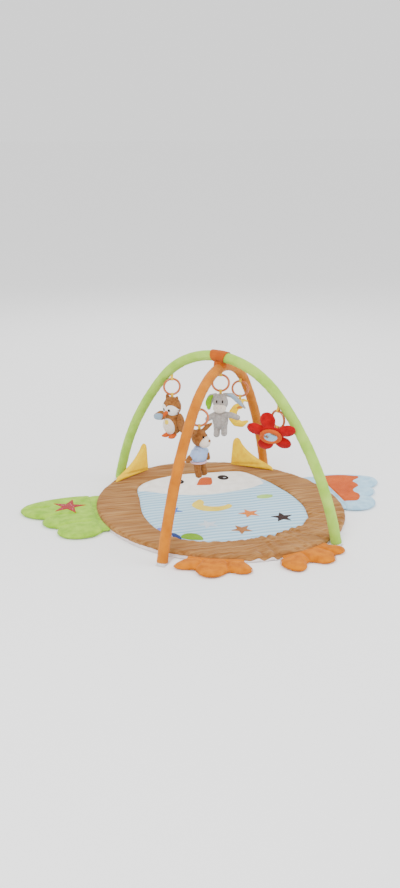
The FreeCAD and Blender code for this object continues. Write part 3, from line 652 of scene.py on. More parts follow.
def surface_of(*pieces):
    """The surface of some pieces, to lay others on."""
    work = bmesh.new()
    for piece in pieces:
        work.from_mesh(piece.data)
    tree = BVHTree.FromBMesh(work)
    work.free()
    return tree


FRONT = Matrix(((1, 0, 0, 0), (0, 0, -1, 0), (0, 1, 0, 0), (0, 0, 0, 1)))
TOP = Matrix.Identity(4)


def laid_on(surface, place, flat):
    """Points of a plane pushed straight onto a surface, and the surface's direction there."""
    down = (place.to_3x3() @ Vector((0, 0, -1))).normalized()
    points, normals = [], []
    for u, v in flat:
        start = place @ Vector((u, v, 0.2))
        hit, normal, _, _ = surface.ray_cast(start, down)
        if hit is None:
            hit, normal, _, _ = surface.find_nearest(place @ Vector((u, v, 0.0)))
        if normal.dot(down) > 0:
            normal = -normal
        points.append(hit)
        normals.append(normal)
    return np.array(points), np.array(normals)


def patch(name, surface, outline, finish, place=TOP, thick=0.0012, spacing=0.004, puff=0.0018):
    """A thin shape laid on a surface. Its outline, in millimetres, lies in the plane of place."""
    outline = np.asarray(outline, float) * MM
    flat, faces = filled(outline, spacing, (0.2, 0.5))
    distance = distance_to(flat, outline, True)
    rim = distance < ON_RIM
    hits, normals = laid_on(surface, place, flat)
    upper = hits + normals * (thick * crown(distance, puff))[:, None]
    upper[rim] -= normals[rim] * 0.0003
    lower = hits - normals * 0.0006
    return closed_shell(name, upper, lower, faces, rim, finish)


def edging(name, surface, outline, finish, place=TOP, wide=1.0, thick=0.7, count=160):
    """A raised band of satin stitch along an outline, in millimetres, on a surface."""
    line = respaced(np.asarray(outline, float) * MM, count)
    hits, normals = laid_on(surface, place, line)
    return sweep(name, hits + normals * 0.0002, normals, wide * MM, thick * MM, finish, True, 0.8, 8)


def on_body(piece, body, stands_for=()):
    """Declare what a finished piece rides on and what it stands for."""
    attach(piece, body)
    if stands_for:
        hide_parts(*stands_for)
    return piece


# ------------------------------------------------------------------ the mat

MAT_CENTRE = np.array((-11.0, -41.0)) * MM
MAT_SHORT, MAT_LONG, MAT_TILT = 398 * MM, 438 * MM, math.radians(30)
BORDER_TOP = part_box("mat_border")[1].z
BELLY_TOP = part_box("belly_panel")[1].z
RIM_ROUND = 11 * MM
BELLY_DEPTH = 7.5 * MM
FLOOR_GAP = 0.3 * MM
# directions, seen from the mat's centre, in which the border is most tucked or drawn back
FRONT_TUCKS, LEFT_TUCKS, DRAWN_BACK = -1.05, -2.1, -2.15
INNER_OUTLINE = [(20, 266), (150, 243), (206, 152), (246, 30), (262, -80), (250, -190), (212, -262),
                 (150, -296), (90, -322), (20, -334), (-60, -338), (-180, -300), (-250, -210), (-277, -80),
                 (-265, 60), (-240, 195), (-130, 262)]
FACE_LOWER_EDGE = [(-262, 158), (-223, 131), (-167, 92), (-112, 68), (-46, 54), (6, 52), (56, 57),
                   (125, 69), (166, 88), (212, 128)]


def mat_edge(angle, outside=0.0):
    """The mat's edge, in metres, at an angle in radians seen from its centre, moved outwards."""
    angle = np.asarray(angle, float)
    short, long = MAT_SHORT + outside, MAT_LONG + outside
    local = angle - MAT_TILT
    reach = short * long / np.hypot(long * np.cos(local), short * np.sin(local))
    return MAT_CENTRE + reach[..., None] * np.stack([np.cos(angle), np.sin(angle)], axis=-1)


def seam_line(count):
    """The seam between the border and the inner panels, with the small tucks of its front edge."""
    line = closed_curve(INNER_OUTLINE, count) * MM
    around = np.arctan2(line[:, 1] - MAT_CENTRE[1], line[:, 0] - MAT_CENTRE[0])
    front = np.exp(-((around - FRONT_TUCKS) / 0.62) ** 2)
    tucks = np.sin(around * 19) + 0.6 * np.sin(around * 31 + 1.0)
    outwards_from = (line - MAT_CENTRE) / np.linalg.norm(line - MAT_CENTRE, axis=1)[:, None]
    return line + outwards_from * (tucks * front * 2.2 * MM)[:, None]


def inner_reach(angles):
    """How far the inner seam is from the mat's centre, at each angle."""
    line = seam_line(720) - MAT_CENTRE
    around = np.arctan2(line[:, 1], line[:, 0])
    order = np.argsort(around)
    return np.interp(angles, around[order], np.linalg.norm(line, axis=1)[order], period=math.tau)


def near_direction(angles, middle, width):
    """1 in the middle direction, falling off smoothly to both sides; everything in radians."""
    return np.exp(-((np.angle(np.exp(1j * (angles - middle)))) / width) ** 2)


def border_wrinkles(flat, angles, share):
    """How far the border's cloth stands up or dips at each point; share runs from seam to rim."""
    ribs = 0.35 * MM * np.sin(flat[:, 1] * math.tau / 0.0125 + 1.5 * lumps(flat, 0.12, 3))
    quilt = 1.4 * MM * lumps(flat * (0.35, 1.0), 0.07, 5)
    arc = angles * 0.42
    line = np.stack([arc, share * 0.02], axis=1)
    front = near_direction(angles, FRONT_TUCKS, 0.75)
    left = 0.35 + 0.3 * near_direction(angles, LEFT_TUCKS, 0.6)
    pucker = 0.8 * lumps(line, 0.030, 8, 9) + 1.3 * lumps(line, 0.052, 9, 9)
    seam_side = np.exp(-share / 0.30)
    rim_side = np.exp(-(1 - share) / 0.22)
    tuck = (3.6 * front + 0.9 * left) * seam_side + (2.8 * front + 0.8 * left) * rim_side + 1.8 * front
    return ribs + quilt * (0.4 + 0.6 * share) + pucker * tuck * MM


def rolled_up(angles):
    """How much the border is drawn back at each angle, so that the pale backing shows below the rim."""
    return near_direction(angles, DRAWN_BACK, 0.55)


def make_border():
    """The brown velour ring, from its seam with the inner panels over the rim to the seam below it."""
    columns = 900
    angles = np.linspace(-math.pi, math.pi, columns, endpoint=False)
    inner = inner_reach(angles)
    outer = np.linalg.norm(mat_edge(angles) - MAT_CENTRE, axis=1)
    centre_line = outer - RIM_ROUND - 7 * MM * rolled_up(angles)
    heading = np.stack([np.cos(angles), np.sin(angles)], axis=1)
    rows = []
    for share in np.linspace(0, 1, 44):
        eased = share ** 1.25
        reach = inner + (centre_line - inner) * eased
        flat = MAT_CENTRE + heading * reach[:, None]
        sunk = 5.5 * MM * np.exp(-(reach - inner) / (7 * MM))
        height = BORDER_TOP - 0.6 * MM - sunk + border_wrinkles(flat, angles, np.full(columns, eased))
        rows.append(np.column_stack([flat, np.maximum(height, BELLY_TOP - 4.5 * MM)]))
    top_row = rows[-1][:, 2]
    for turn in np.radians(np.linspace(8, 112, 12)):
        reach = centre_line + RIM_ROUND * math.sin(turn)
        ripple = 0.7 * MM * lumps(np.stack([angles * 0.42, np.full(columns, turn * 0.004)], axis=1), 0.03, 12)
        flat = MAT_CENTRE + heading * (reach + ripple * math.sin(turn))[:, None]
        height = top_row - RIM_ROUND * (1 - math.cos(turn))
        rows.append(np.column_stack([flat, height]))
    hem = rows[-1].copy()
    hem[:, :2] = MAT_CENTRE + (hem[:, :2] - MAT_CENTRE) * 0.985
    rows.append(hem)
    tucked = rows[0].copy()
    tucked[:, :2] = MAT_CENTRE + heading * (inner + 2 * MM)[:, None]
    tucked[:, 2] = BELLY_TOP - 7 * MM
    rows.insert(0, tucked)
    faces = grid_faces(len(rows), columns)
    last = (len(rows) - 1) * columns
    faces += [(last + k, last + (k + 1) % columns, (k + 1) % columns, k) for k in range(columns)]
    border = mesh_piece("mat_border_velour", np.vstack(rows), faces, "brown_velour")
    on_body(border, "mat", ("mat_border",))
    rim = rows[-2]
    return border, rim


def make_underside(rim):
    """The pale cotton backing: it turns in under the rim and closes the mat below."""
    heading = rim[:, :2] - MAT_CENTRE
    rows = [np.column_stack([MAT_CENTRE + heading * 0.997, rim[:, 2] + 0.6 * MM])]
    outwards = rolled_up(np.arctan2(heading[:, 1], heading[:, 0]))[:, None]
    for share, height, swell in ((1.0, 0.85, 4), (1.001, 0.6, 8), (0.997, 0.32, 10), (0.988, 0.12, 9),
                                 (0.975, 0.03, 7), (0.95, 0.0, 0), (0.8, 0.0, 0), (0.5, 0.0, 0),
                                 (0.2, 0.0, 0)):
        sag = 0.4 * MM * lumps(np.column_stack([heading * share]), 0.05, 21) * height
        level = FLOOR_GAP + (rim[:, 2] - FLOOR_GAP) * height
        reach = heading * (share + swell * MM * outwards / np.linalg.norm(heading, axis=1)[:, None])
        rows.append(np.column_stack([MAT_CENTRE + reach, np.maximum(level + sag, FLOOR_GAP)]))
    columns = len(rim)
    faces = grid_faces(len(rows), columns)
    middle = len(rows) * columns
    last = middle - columns
    faces += [(last + k, last + (k + 1) % columns, middle) for k in range(columns)]
    points = np.vstack(rows + [np.array([[*MAT_CENTRE, FLOOR_GAP]])])
    backing = mesh_piece("mat_underside", points, faces, "backing_cotton")
    on_body(backing, "mat", ("mat_backing",))
    piping = sweep("mat_rim_piping", rim + (0, 0, -0.5 * MM), UP, 1.3 * MM, 1.3 * MM, "backing_cotton", True,
                   1.0, 10)
    on_body(piping, "mat")


def panel_height(flat, distance):
    """The height of the inner panels, which sink towards their seam with the border."""
    folds = 0.8 * MM * lumps(flat * (0.5, 1.0), 0.09, 31) + 0.35 * MM * lumps(flat * (0.3, 1.0), 0.03, 32)
    return BELLY_TOP - 0.4 * MM + folds - 4.0 * MM * np.exp(-distance / (10 * MM))


def make_belly():
    outline = seam_line(320)
    outline = MAT_CENTRE + (outline - MAT_CENTRE) * 1.004
    flat, faces = filled(outline, 8 * MM)
    distance = distance_to(flat, outline, True)
    rim = distance < ON_RIM
    upper = np.column_stack([flat, panel_height(flat, distance)])
    lower = np.column_stack([flat, np.full(len(flat), BELLY_TOP - BELLY_DEPTH)])
    belly = closed_shell("belly_jersey", upper, lower, faces, rim, "belly_stripe")
    return on_body(belly, "mat", ("belly_panel",))


def make_face(surface):
    """The owl's pale face over the belly: the seam's upper half closed by a curved lower edge."""
    seam = seam_line(320) / MM
    lower = respaced(closed_curve(FACE_LOWER_EDGE + [(0, 500)], 600), 600)
    lower = lower[(lower[:, 1] < 170)]
    lower = lower[np.argsort(lower[:, 0])]
    edge_at = np.interp(seam[:, 0], lower[:, 0], lower[:, 1])
    upper = seam[(seam[:, 1] > edge_at) & (seam[:, 1] > 100)]
    upper = upper[np.argsort(np.arctan2(upper[:, 1] - 60, upper[:, 0]))]
    inside = lower[(lower[:, 0] > upper[:, 0].min()) & (lower[:, 0] < upper[:, 0].max())]
    outline = respaced(np.vstack([upper, inside]), 300)
    face = patch("face_velour", surface, outline, "face_fabric", TOP, 2.0 * MM, 7 * MM, 7 * MM)
    on_body(face, "mat", ("face_panel",))
    return face, outline


def star_outline(radius, x, y, turn, pinch=0.42):
    corners = []
    for k in range(10):
        reach = radius if k % 2 == 0 else radius * pinch
        angle = math.radians(turn + 90 + 36 * k)
        corners.append((x + reach * math.cos(angle), y + reach * math.sin(angle)))
    return closed_curve(corners, 120, tuple(range(10)))


def oval_outline(radius_x, radius_y, x, y, lean=0.0):
    turns = np.linspace(0, math.tau, 48, endpoint=False)
    ring = np.stack([radius_x * np.cos(turns), radius_y * np.sin(turns)], axis=1)
    lean = math.radians(lean)
    turned = ring @ np.array(((math.cos(lean), math.sin(lean)), (-math.sin(lean), math.cos(lean))))
    return turned + (x, y)


EYES = (("left", -98), ("right", 68))
BEAK = [(-41, 146), (-34, 162), (-20, 193), (-10, 206), (2, 211), (16, 208), (24, 201), (20, 170), (8, 136),
        (-8, 136), (-26, 140)]
MOON = [(-103, -34), (-96, -14), (-79, 3), (-66, 12), (-58, -2), (-60, -22), (-66, -36), (-56, -50),
        (-38, -60), (-15, -65), (4, -60), (20, -52), (26, -64), (18, -80), (-4, -92), (-32, -99), (-60, -94),
        (-82, -80), (-96, -58)]
STARS = [("orange", "star_orange", 36, 64, -143, 8), ("brown", "star_brown", 37, 160, -200, -4),
         ("tan", "star_tan", 35, 3, -262, 20), ("white", "star_white", 34, -90, -196, 10),
         ("blue", "star_blue", 32, -175, -60, 30)]


def make_patches(surface):
    """The appliqués on the face and belly. Each has a satin-stitched edge."""
    shapes = [("beak", closed_curve(BEAK, 90), "beak_orange", "orange_fabric", ("beak_patch",)),
              ("moon", closed_curve(MOON, 120), "pale_yellow", "yellow_fabric", ("moon_patch",))]
    for side, x in EYES:
        stands_for = ("eye_patches",) if side == "left" else ()
        shapes.append((f"eye_{side}", oval_outline(19, 23, x, 193), "dark_brown_felt", "dark_brown_felt",
                       stands_for))
    for name, finish, radius, x, y, turn in STARS:
        stands_for = ("star_patches",) if name == "orange" else ()
        shapes.append((f"star_{name}", star_outline(radius, x, y, turn), finish, "star_felt", stands_for))
    shapes += [
        ("lime_dot", oval_outline(29, 17, 160, -14, 6), "lime_pale", "lime_fabric", ("hill_patches",)),
        ("lime_hill", closed_curve([(-197, -270), (-182, -252), (-160, -252), (-140, -270), (-136, -306),
                                    (-158, -300), (-180, -290)], 80), "lime_fabric", "lime_fabric", ()),
        ("navy_hill", closed_curve([(-222, -234), (-212, -238), (-200, -262), (-200, -282), (-210, -276),
                                    (-219, -258)], 60), "navy_fabric", "lime_fabric", ()),
        ("lilac_hill", closed_curve([(-256, -186), (-246, -184), (-236, -198), (-238, -214),
                                     (-248, -210)], 60), "lilac_fabric", "lime_fabric", ())]
    for name, outline, finish, slot, stands_for in shapes:
        body = patch(f"{name}_applique", surface, outline, finish)
        edge = edging(f"{name}_stitching", surface, outline, finish)
        on_body(joined(f"{name}_applique", [body, edge]), "mat", stands_for)
    for side, x in EYES:
        glint = patch(f"eye_glint_{side}", surface, oval_outline(6, 5, x + 4, 188), "eye_glint", TOP, 1.9 * MM,
                      2 * MM)
        on_body(glint, "mat")


def make_mat():
    border, rim = make_border()
    make_underside(rim)
    belly = make_belly()
    face, face_outline = make_face(surface_of(belly))
    surface = surface_of(belly, face)
    make_patches(surface)
    seam = seam_line(600)
    line, _ = laid_on(surface_of(border), TOP, MAT_CENTRE + (seam - MAT_CENTRE) * 1.014)
    thread = stitches("border_topstitch", line, UP, "brown_plush", 3.4, 2.4, 0.4)
    on_body(thread, "mat")
    lower = face_outline[(face_outline[:, 1] < 160)]
    lower = lower[np.argsort(lower[:, 0])]
    line, _ = laid_on(surface, TOP, (lower + (0, 4)) * MM)
    thread = stitches("face_topstitch", line, UP, "face_fabric", 3.0, 2.4, 0.35, closed=False)
    on_body(thread, "mat")

# ------------------------------------------------------------------ wings, feet and ears

LEFT_ROOT_X = JOINTS["left_wing_fold"]["pos_m"][0] / MM
RIGHT_ROOT_X = JOINTS["right_wing_fold"]["pos_m"][0] / MM
LEFT_WING = [(LEFT_ROOT_X, 162), (-480, 168), (-540, 164), (-600, 151), (-645, 129), (-665, 98), (-660, 58),
             (-634, 26), (-594, 3), (-606, -26), (-594, -60), (-558, -84), (-566, -120), (-548, -156),
             (-505, -174), (-455, -168), (LEFT_ROOT_X, -140)]
LEFT_CORNERS = (0, 8, 11, 16)
LEFT_QUILTING = [[(-594, 3), (-566, 12), (-530, 12), (-490, 4)],
                 [(-558, -84), (-530, -72), (-490, -66), (-455, -70)], [(-640, 95), (-600, 84), (-575, 84)]]
RIGHT_WING = [(RIGHT_ROOT_X, 152), (460, 150), (520, 138), (580, 113), (611, 84), (611, 52), (590, 22),
              (557, 3), (566, -20), (553, -50), (519, -73), (528, -106), (510, -150), (474, -176),
              (430, -174), (RIGHT_ROOT_X, -160)]
RIGHT_CORNERS = (0, 7, 10, 15)
RIGHT_QUILTING = [[(557, 3), (536, 0)], [(519, -73), (500, -70)], [(585, 66), (560, 62)]]
INSET = [(414, 124), (490, 120), (552, 93), (546, 78), (530, 66), (520, 60), (511, 46), (517, 24), (514, 4),
         (500, -8), (490, -16), (480, -30), (478, -50), (486, -66), (482, -86), (470, -108), (454, -122),
         (414, -116)]
INSET_CORNERS = (0, 2, 5, 10, 13, 17)
LEFT_TOES = [(-88, 0), (-112, -32), (-117, -52), (-98, -62), (-56, -61), (-50, -68), (-34, -92), (-4, -104),
             (26, -92), (44, -68), (52, -62), (88, -68), (114, -56), (112, -30), (88, 0)]
LEFT_TOE_SEAMS = [[(-53, -64), (-42, -34), (-38, -8)], [(48, -64), (42, -34), (36, -8)]]
RIGHT_TOES = [(-103, 0), (-120, -26), (-114, -68), (-96, -86), (-72, -82), (-48, -58), (-30, -58), (-22, -64),
              (0, -90), (34, -92), (56, -64), (64, -60), (92, -64), (110, -48), (104, -24), (78, 0)]
RIGHT_TOE_SEAMS = [[(-36, -60), (-28, -32), (-22, -8)], [(60, -62), (52, -34), (42, -8)]]
EAR_SHAPE = [(0.97, 0.0), (0.93, 0.40), (0.87, 0.83), (0.79, 0.95), (0.67, 1.0), (0.55, 0.96), (0.43, 0.84),
             (0.05, 0.56), (-0.48, 0.32), (-0.95, 0.13), (-1.04, 0.0)]
EAR_CORNERS = (0, 10)


def edge_frame(angle, outside, height=0.0):
    """The frame of the mat's edge at an angle in degrees: x runs along the edge, y inwards, z up."""
    at = mat_edge(math.radians(angle), outside)
    ahead = mat_edge(math.radians(angle + 1), outside) - mat_edge(math.radians(angle - 1), outside)
    heading = math.atan2(ahead[1], ahead[0])
    return Matrix.Translation((at[0], at[1], height)) @ Matrix.Rotation(heading, 4, "Z")


def seam_rope(name, outline, place, height, finish, radius=0.9):
    """A thin corded seam round a flat stuffed piece."""
    line = np.column_stack([outline, np.full(len(outline), height)])
    placed = np.array([place @ Vector(p) for p in line])
    normal = np.array(place.to_3x3() @ Vector((0, 0, 1)))
    return sweep(name, placed, normal, radius * MM, radius * MM, finish, True, 1.0, 8)


def root_band(name, place, half_length, depth, thick, finish, mid):
    """The sewn root of a flap: cloth that runs from under the mat's rim to the flap."""
    columns, rows = 40, 9
    xs = np.linspace(-half_length, half_length, columns)
    points = []
    for side in (1, -1):
        for row in np.linspace(0, 1, rows):
            for x in xs:
                rim = edge_depth(place, x)
                y = rim + (-depth - rim) * row
                rounding = crown(half_length - abs(x), 6 * MM)
                swell = thick / 2 * (0.55 + 0.45 * math.sin(math.pi * row)) * rounding
                points.append(place @ Vector((x, y, mid + side * swell)))
    faces = grid_faces(rows, columns, False)
    base = rows * columns
    faces += [tuple(base + v for v in face[::-1]) for face in faces]
    ring = ([k for k in range(columns)] + [columns * k + columns - 1 for k in range(1, rows)]
            + [base - 1 - k for k in range(1, columns)] + [columns * k for k in range(rows - 2, 0, -1)])
    for a, b in zip(ring, ring[1:] + ring[:1]):
        faces.append((a, b, base + b, base + a))
    piece = mesh_piece(name, points, faces, finish)
    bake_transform(piece)
    return piece


def edge_depth(place, x):
    """How far in from the tangent line the mat's rim lies, at a distance along it, plus a small tuck."""
    at = place @ Vector((x, 0, 0))
    flat = np.array((at.x, at.y)) - MAT_CENTRE
    angle = math.atan2(flat[1], flat[0])
    reach = np.linalg.norm(mat_edge(angle) - MAT_CENTRE)
    return np.linalg.norm(flat) - reach + 7 * MM


def floor_flap(name, body, outline, corners, place, thick, finish, node, seams, spacing=0.0055):
    """A stuffed flap that lies on the floor, swollen by its filling, with sewn channels."""
    curve = closed_curve(outline, 260, corners) * MM
    piece = cushion(name, curve, finish, thick, 0.6 * MM, 0.42 * thick, spacing, place, 15 * MM, seams)
    under_pressure(piece, 3.0 * MM, 5.0)
    points = points_of(piece)
    points[:, 2] = np.clip(points[:, 2], 0.4 * MM, None)
    set_points(piece, points)
    finer(piece)
    rope = seam_rope(f"{name}_seam", curve, place, 0.42 * thick, finish)
    on_body(piece, body, (node,))
    on_body(rope, body)
    return piece


def make_wings():
    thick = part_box("wing_left")[1].z
    left = floor_flap("left_wing_velour", "left_wing", LEFT_WING, LEFT_CORNERS, TOP, thick, "lime_velour",
                      "wing_left", LEFT_QUILTING)
    star = star_outline(58, -508, 66, -20, 0.36)
    applique = [patch("left_wing_star", surface_of(left), star, "red_print"),
                edging("left_wing_star_edge", surface_of(left), star, "red_velour", wide=1.2)]
    on_body(joined("left_wing_star", applique), "left_wing", ("wing_left_star",))
    right = floor_flap("right_wing_velour", "right_wing", RIGHT_WING, RIGHT_CORNERS, TOP, thick,
                       "pale_blue_fabric", "wing_right", RIGHT_QUILTING)
    inset = closed_curve(INSET, 220, INSET_CORNERS)
    surface = surface_of(right)
    applique = [patch("right_wing_inset", surface, inset, "orange_fabric", TOP, 2.0 * MM, 5 * MM, 4 * MM),
                edging("right_wing_inset_edge", surface, inset, "orange_fabric", wide=1.2, count=260)]
    on_body(joined("right_wing_inset", applique), "right_wing", ("wing_right_inset",))
    for side, root, middle, half, finish in (("left", LEFT_ROOT_X, 11, 149, "lime_velour"),
                                             ("right", RIGHT_ROOT_X, -4, 154, "pale_blue_fabric")):
        turn = -90.0 if side == "left" else 90.0
        place = Matrix.Translation((root * MM, middle * MM, 0)) @ Matrix.Rotation(math.radians(turn), 4, "Z")
        root_band(f"{side}_wing_root", place, half * MM, 9 * MM, 11 * MM, finish,
                  8 * MM)


def make_feet():
    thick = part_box("foot_left")[1].z
    for side, angle, toes, seams in (("left", -107.0, LEFT_TOES, LEFT_TOE_SEAMS),
                                     ("right", -68.0, RIGHT_TOES, RIGHT_TOE_SEAMS)):
        place = edge_frame(angle, 2.5 * MM)
        floor_flap(f"{side}_foot_velour", f"{side}_foot", toes, (0, len(toes) - 1), place, thick,
                   "orange_velour", f"foot_{side}", seams, 5 * MM)
        root_band(f"{side}_foot_root", place, 86 * MM, 9 * MM, 12 * MM, "orange_velour",
                  9 * MM)


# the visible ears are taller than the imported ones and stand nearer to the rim
EAR_HALF_WIDTH, EAR_HALF_THICK = 85 * MM, 10 * MM
EAR_TALLER, EAR_LOWER, EAR_FROM_EDGE = 6 * MM, 3 * MM, -31 * MM


def make_ears():
    low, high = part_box("ear_left")
    tall = high.z - low.z + EAR_TALLER
    for side, angle, inner in (("left", 125.3, 1), ("right", 56.0, -1)):
        shape = [(inner * x * EAR_HALF_WIDTH / MM, y * tall / MM) for x, y in EAR_SHAPE]
        curve = closed_curve(shape, 200, EAR_CORNERS) * MM
        frame_here = edge_frame(angle, EAR_FROM_EDGE, low.z - EAR_LOWER) @ Matrix.Rotation(math.pi, 4, "Z")
        upright = frame_here @ Matrix.Rotation(math.pi / 2, 4, "X")
        ear = cushion(f"{side}_ear_velour", curve, "yellow_fabric", EAR_HALF_THICK, -EAR_HALF_THICK, 0.0,
                      5 * MM, upright, 24 * MM)
        under_pressure(ear, 3.0 * MM, 4.0)
        points = points_of(ear)
        back = np.array([upright.inverted() @ Vector(p) for p in points])
        height = np.clip(back[:, 1] / tall, 0, 1)
        squeeze = 1 - 0.35 * height
        crease = 1 - 0.5 * np.exp(-((back[:, 1] - 16 * MM + 0.12 * inner * back[:, 0]) / (5 * MM)) ** 2)
        back[:, 2] *= squeeze * crease
        back[:, 2] += 5 * MM * height ** 2
        set_points(ear, np.array([upright @ Vector(p) for p in back]))
        finer(ear)
        on_body(ear, f"{side}_ear", (f"ear_{side}",))


# ------------------------------------------------------------------ the arches

HALF_SPAN = 462 * MM
CROWN_RADIUS, CROWN_HALF_ANGLE = 325 * MM, math.radians(47)
SLEEVE_RADIUS = 17 * MM
MIDDLE = np.array((*MAT_CENTRE, 0.0))
FOOT_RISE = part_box("green_sleeve")[0].z
ARCH_TURN = {"orange": math.radians(53), "green": math.radians(127)}


def arch_line(colour_name, step=0.004):
    """The arch's centre line from its back foot to its front foot: distance from the crossing and height."""
    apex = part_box(f"{colour_name}_sleeve")[1].z - SLEEVE_RADIUS
    knee = (CROWN_RADIUS * math.sin(CROWN_HALF_ANGLE), apex - CROWN_RADIUS * (1 - math.cos(CROWN_HALF_ANGLE)))
    chord = math.hypot(HALF_SPAN - knee[0], knee[1])
    last = 2 * math.atan2(knee[1], HALF_SPAN - knee[0]) - CROWN_HALF_ANGLE
    leg = chord / (2 * math.sin((last - CROWN_HALF_ANGLE) / 2))
    crown_turns = np.arange(0, CROWN_HALF_ANGLE, step / CROWN_RADIUS)
    leg_turns = np.arange(CROWN_HALF_ANGLE, last, step / leg)
    reach = np.concatenate([CROWN_RADIUS * np.sin(crown_turns),
                            knee[0] + leg * (np.sin(leg_turns) - math.sin(CROWN_HALF_ANGLE)), [HALF_SPAN]])
    height = np.concatenate([apex - CROWN_RADIUS * (1 - np.cos(crown_turns)),
                             knee[1] + leg * (np.cos(leg_turns) - math.cos(CROWN_HALF_ANGLE)), [0.0]])
    half = respaced(np.column_stack([reach, height]), 210, closed=False)
    half = half[half[:, 1] >= FOOT_RISE]
    half = np.vstack([half, [half[-1, 0] + 0.0005, FOOT_RISE]])
    return np.vstack([half[::-1], half[1:] * (-1, 1)])


def make_sleeve(colour_name):
    """A padded tube of cloth with small folds where it bends and gathers at its feet."""
    line = arch_line(colour_name)
    turn = ARCH_TURN[colour_name]
    along = np.array((math.cos(turn), math.sin(turn), 0.0))
    normal = np.array((-math.sin(turn), math.cos(turn), 0.0))
    path = MIDDLE + line[:, :1] * along + line[:, 1:] * UP
    heading = np.gradient(path, axis=0)
    heading /= np.linalg.norm(heading, axis=1)[:, None]
    over = np.cross(normal, heading)
    over *= np.sign(over[len(over) // 2, 2])
    run = np.concatenate([[0], np.cumsum(np.linalg.norm(np.diff(path, axis=0), axis=1))])
    sides = 56
    turns = np.linspace(0, math.tau, sides, endpoint=False)
    to_foot = np.minimum(run, run[-1] - run)
    closing = np.sqrt(np.clip(1 - (1 - np.clip(to_foot / (9 * MM), 0, 1)) ** 2, 0, 1)) * 0.30 + 0.70
    rows = []
    for k, centre in enumerate(path):
        under = np.clip(-np.cos(turns), 0, 1)
        place = np.column_stack([np.full(sides, run[k]), np.cos(turns) * 0.02, np.sin(turns) * 0.02])
        folds = 0.45 * lumps(place * (1.0, 0.6, 0.6), 0.03, 41) + 0.8 * under * lumps(place, 0.012, 42)
        folds += 0.5 * lumps(place * (0.4, 1.0, 1.0), 0.05, 43)
        gather = 1.2 * np.exp(-to_foot[k] / (16 * MM)) * np.sin(turns * 14)
        radius = SLEEVE_RADIUS * closing[k] + (folds * min(1, to_foot[k] / (20 * MM)) + gather - 0.3) * MM
        ring = centre + radius[:, None] * (np.cos(turns)[:, None] * over[k] + np.sin(turns)[:, None] * normal)
        ring[:, 2] = np.maximum(ring[:, 2], FOOT_RISE)
        rows.append(ring)
    for end in (0, -1):
        for share in (0.6, 0.25):
            ring = path[end] + (rows[end] - path[end]) * share
            ring[:, 2] = FOOT_RISE
            if end == 0:
                rows.insert(0, ring)
            else:
                rows.append(ring)
    faces = grid_faces(len(rows), sides)
    faces += [tuple(range(sides)), tuple(range((len(rows) - 1) * sides, len(rows) * sides))]
    sleeve = mesh_piece(f"{colour_name}_sleeve_cloth", np.vstack(rows), faces, f"{colour_name}_sleeve")
    on_body(sleeve, f"arch_{colour_name}", (f"{colour_name}_sleeve",))
    below = path - over * (SLEEVE_RADIUS + 0.1 * MM)
    keep = (to_foot > 14 * MM)
    thread = stitches(f"{colour_name}_sleeve_seam", below[keep], normal, f"{colour_name}_sleeve", 3.4, 2.2,
                      0.5, closed=False)
    on_body(thread, f"arch_{colour_name}")


def make_crossing():
    """An orange strap over the green arch, and the gathered cloth that ties it to the orange one."""
    green_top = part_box("green_sleeve")[1].z
    orange_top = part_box("orange_sleeve")[1].z
    centre = MIDDLE + UP * (green_top - SLEEVE_RADIUS)
    green = ARCH_TURN["green"]
    along = np.array((math.cos(green), math.sin(green), 0.0))
    side = np.array((-math.sin(green), math.cos(green), 0.0))
    turns = np.linspace(0, math.tau, 96, endpoint=False)
    radius = SLEEVE_RADIUS + (2.1 + 0.35 * np.sin(turns * 5) + 0.3 * np.sin(turns * 11 + 1)) * MM
    radius = np.where(np.cos(turns) < -0.6, SLEEVE_RADIUS + 1.7 * MM, radius)
    path = centre + radius[:, None] * (np.sin(turns)[:, None] * side + np.cos(turns)[:, None] * UP)
    half_width = (21 + 12 * np.cos(turns / 2) ** 2) * MM
    band = sweep("crossing_strap_cloth", path, along, 1.0 * MM, half_width, "orange_strap", True, 0.35, 40)
    bend_over_crown(band, centre, along)
    on_body(band, "arch_green", ("crossing_strap",))
    for end in (-1, 1):
        hem = path + along * (end * (half_width - 3.0 * MM))[:, None]
        away = (hem - centre) - ((hem - centre) @ along)[:, None] * along
        away /= np.linalg.norm(away, axis=1)[:, None]
        thread = stitches(f"strap_hem_{end + 2}", hem + away * 1.2 * MM, along, "orange_strap", 3.0, 2.2, 0.4)
        bend_over_crown(thread, centre, along)
        on_body(thread, "arch_green")
    rows = []
    for level in np.linspace(0, 1, 12):
        z = orange_top + 8 * MM - level * 22 * MM
        ring = []
        for a in turns:
            pleat = 0.8 * MM * math.sin(a * 12) * math.sin(math.pi * level)
            reach_along = (18.5 + 4.5 * level) * MM + pleat
            reach_side = (19.3 - 1.2 * math.sin(math.pi * level)) * MM + pleat
            ring.append(MIDDLE + along * math.cos(a) * reach_along + side * math.sin(a) * reach_side + UP * z)
        rows.append(np.array(ring))
    inner = [MIDDLE + (row - MIDDLE) * (0.93, 0.93, 1.0) for row in rows[::-1]]
    every = rows + inner
    count = len(turns)
    faces = grid_faces(len(every), count)
    last = (len(every) - 1) * count
    faces += [(last + k, last + (k + 1) % count, (k + 1) % count, k) for k in range(count)]
    neck = mesh_piece("crossing_neck_cloth", np.vstack(every), faces, "orange_strap")
    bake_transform(neck)


def bend_over_crown(piece, centre, along):
    """Lower a piece's ends so that it follows the arch's crown."""
    points = points_of(piece)
    out = (points - centre) @ along
    points[:, 2] -= CROWN_RADIUS - np.sqrt(CROWN_RADIUS**2 - out**2)
    set_points(piece, points)


# half a floor tab's width, and how far its stitching is from its middle line and from its ends
TAB_HALF_WIDTH, TAB_STITCHING, TAB_HEM = 15.6 * MM, 12.5 * MM, 3 * MM


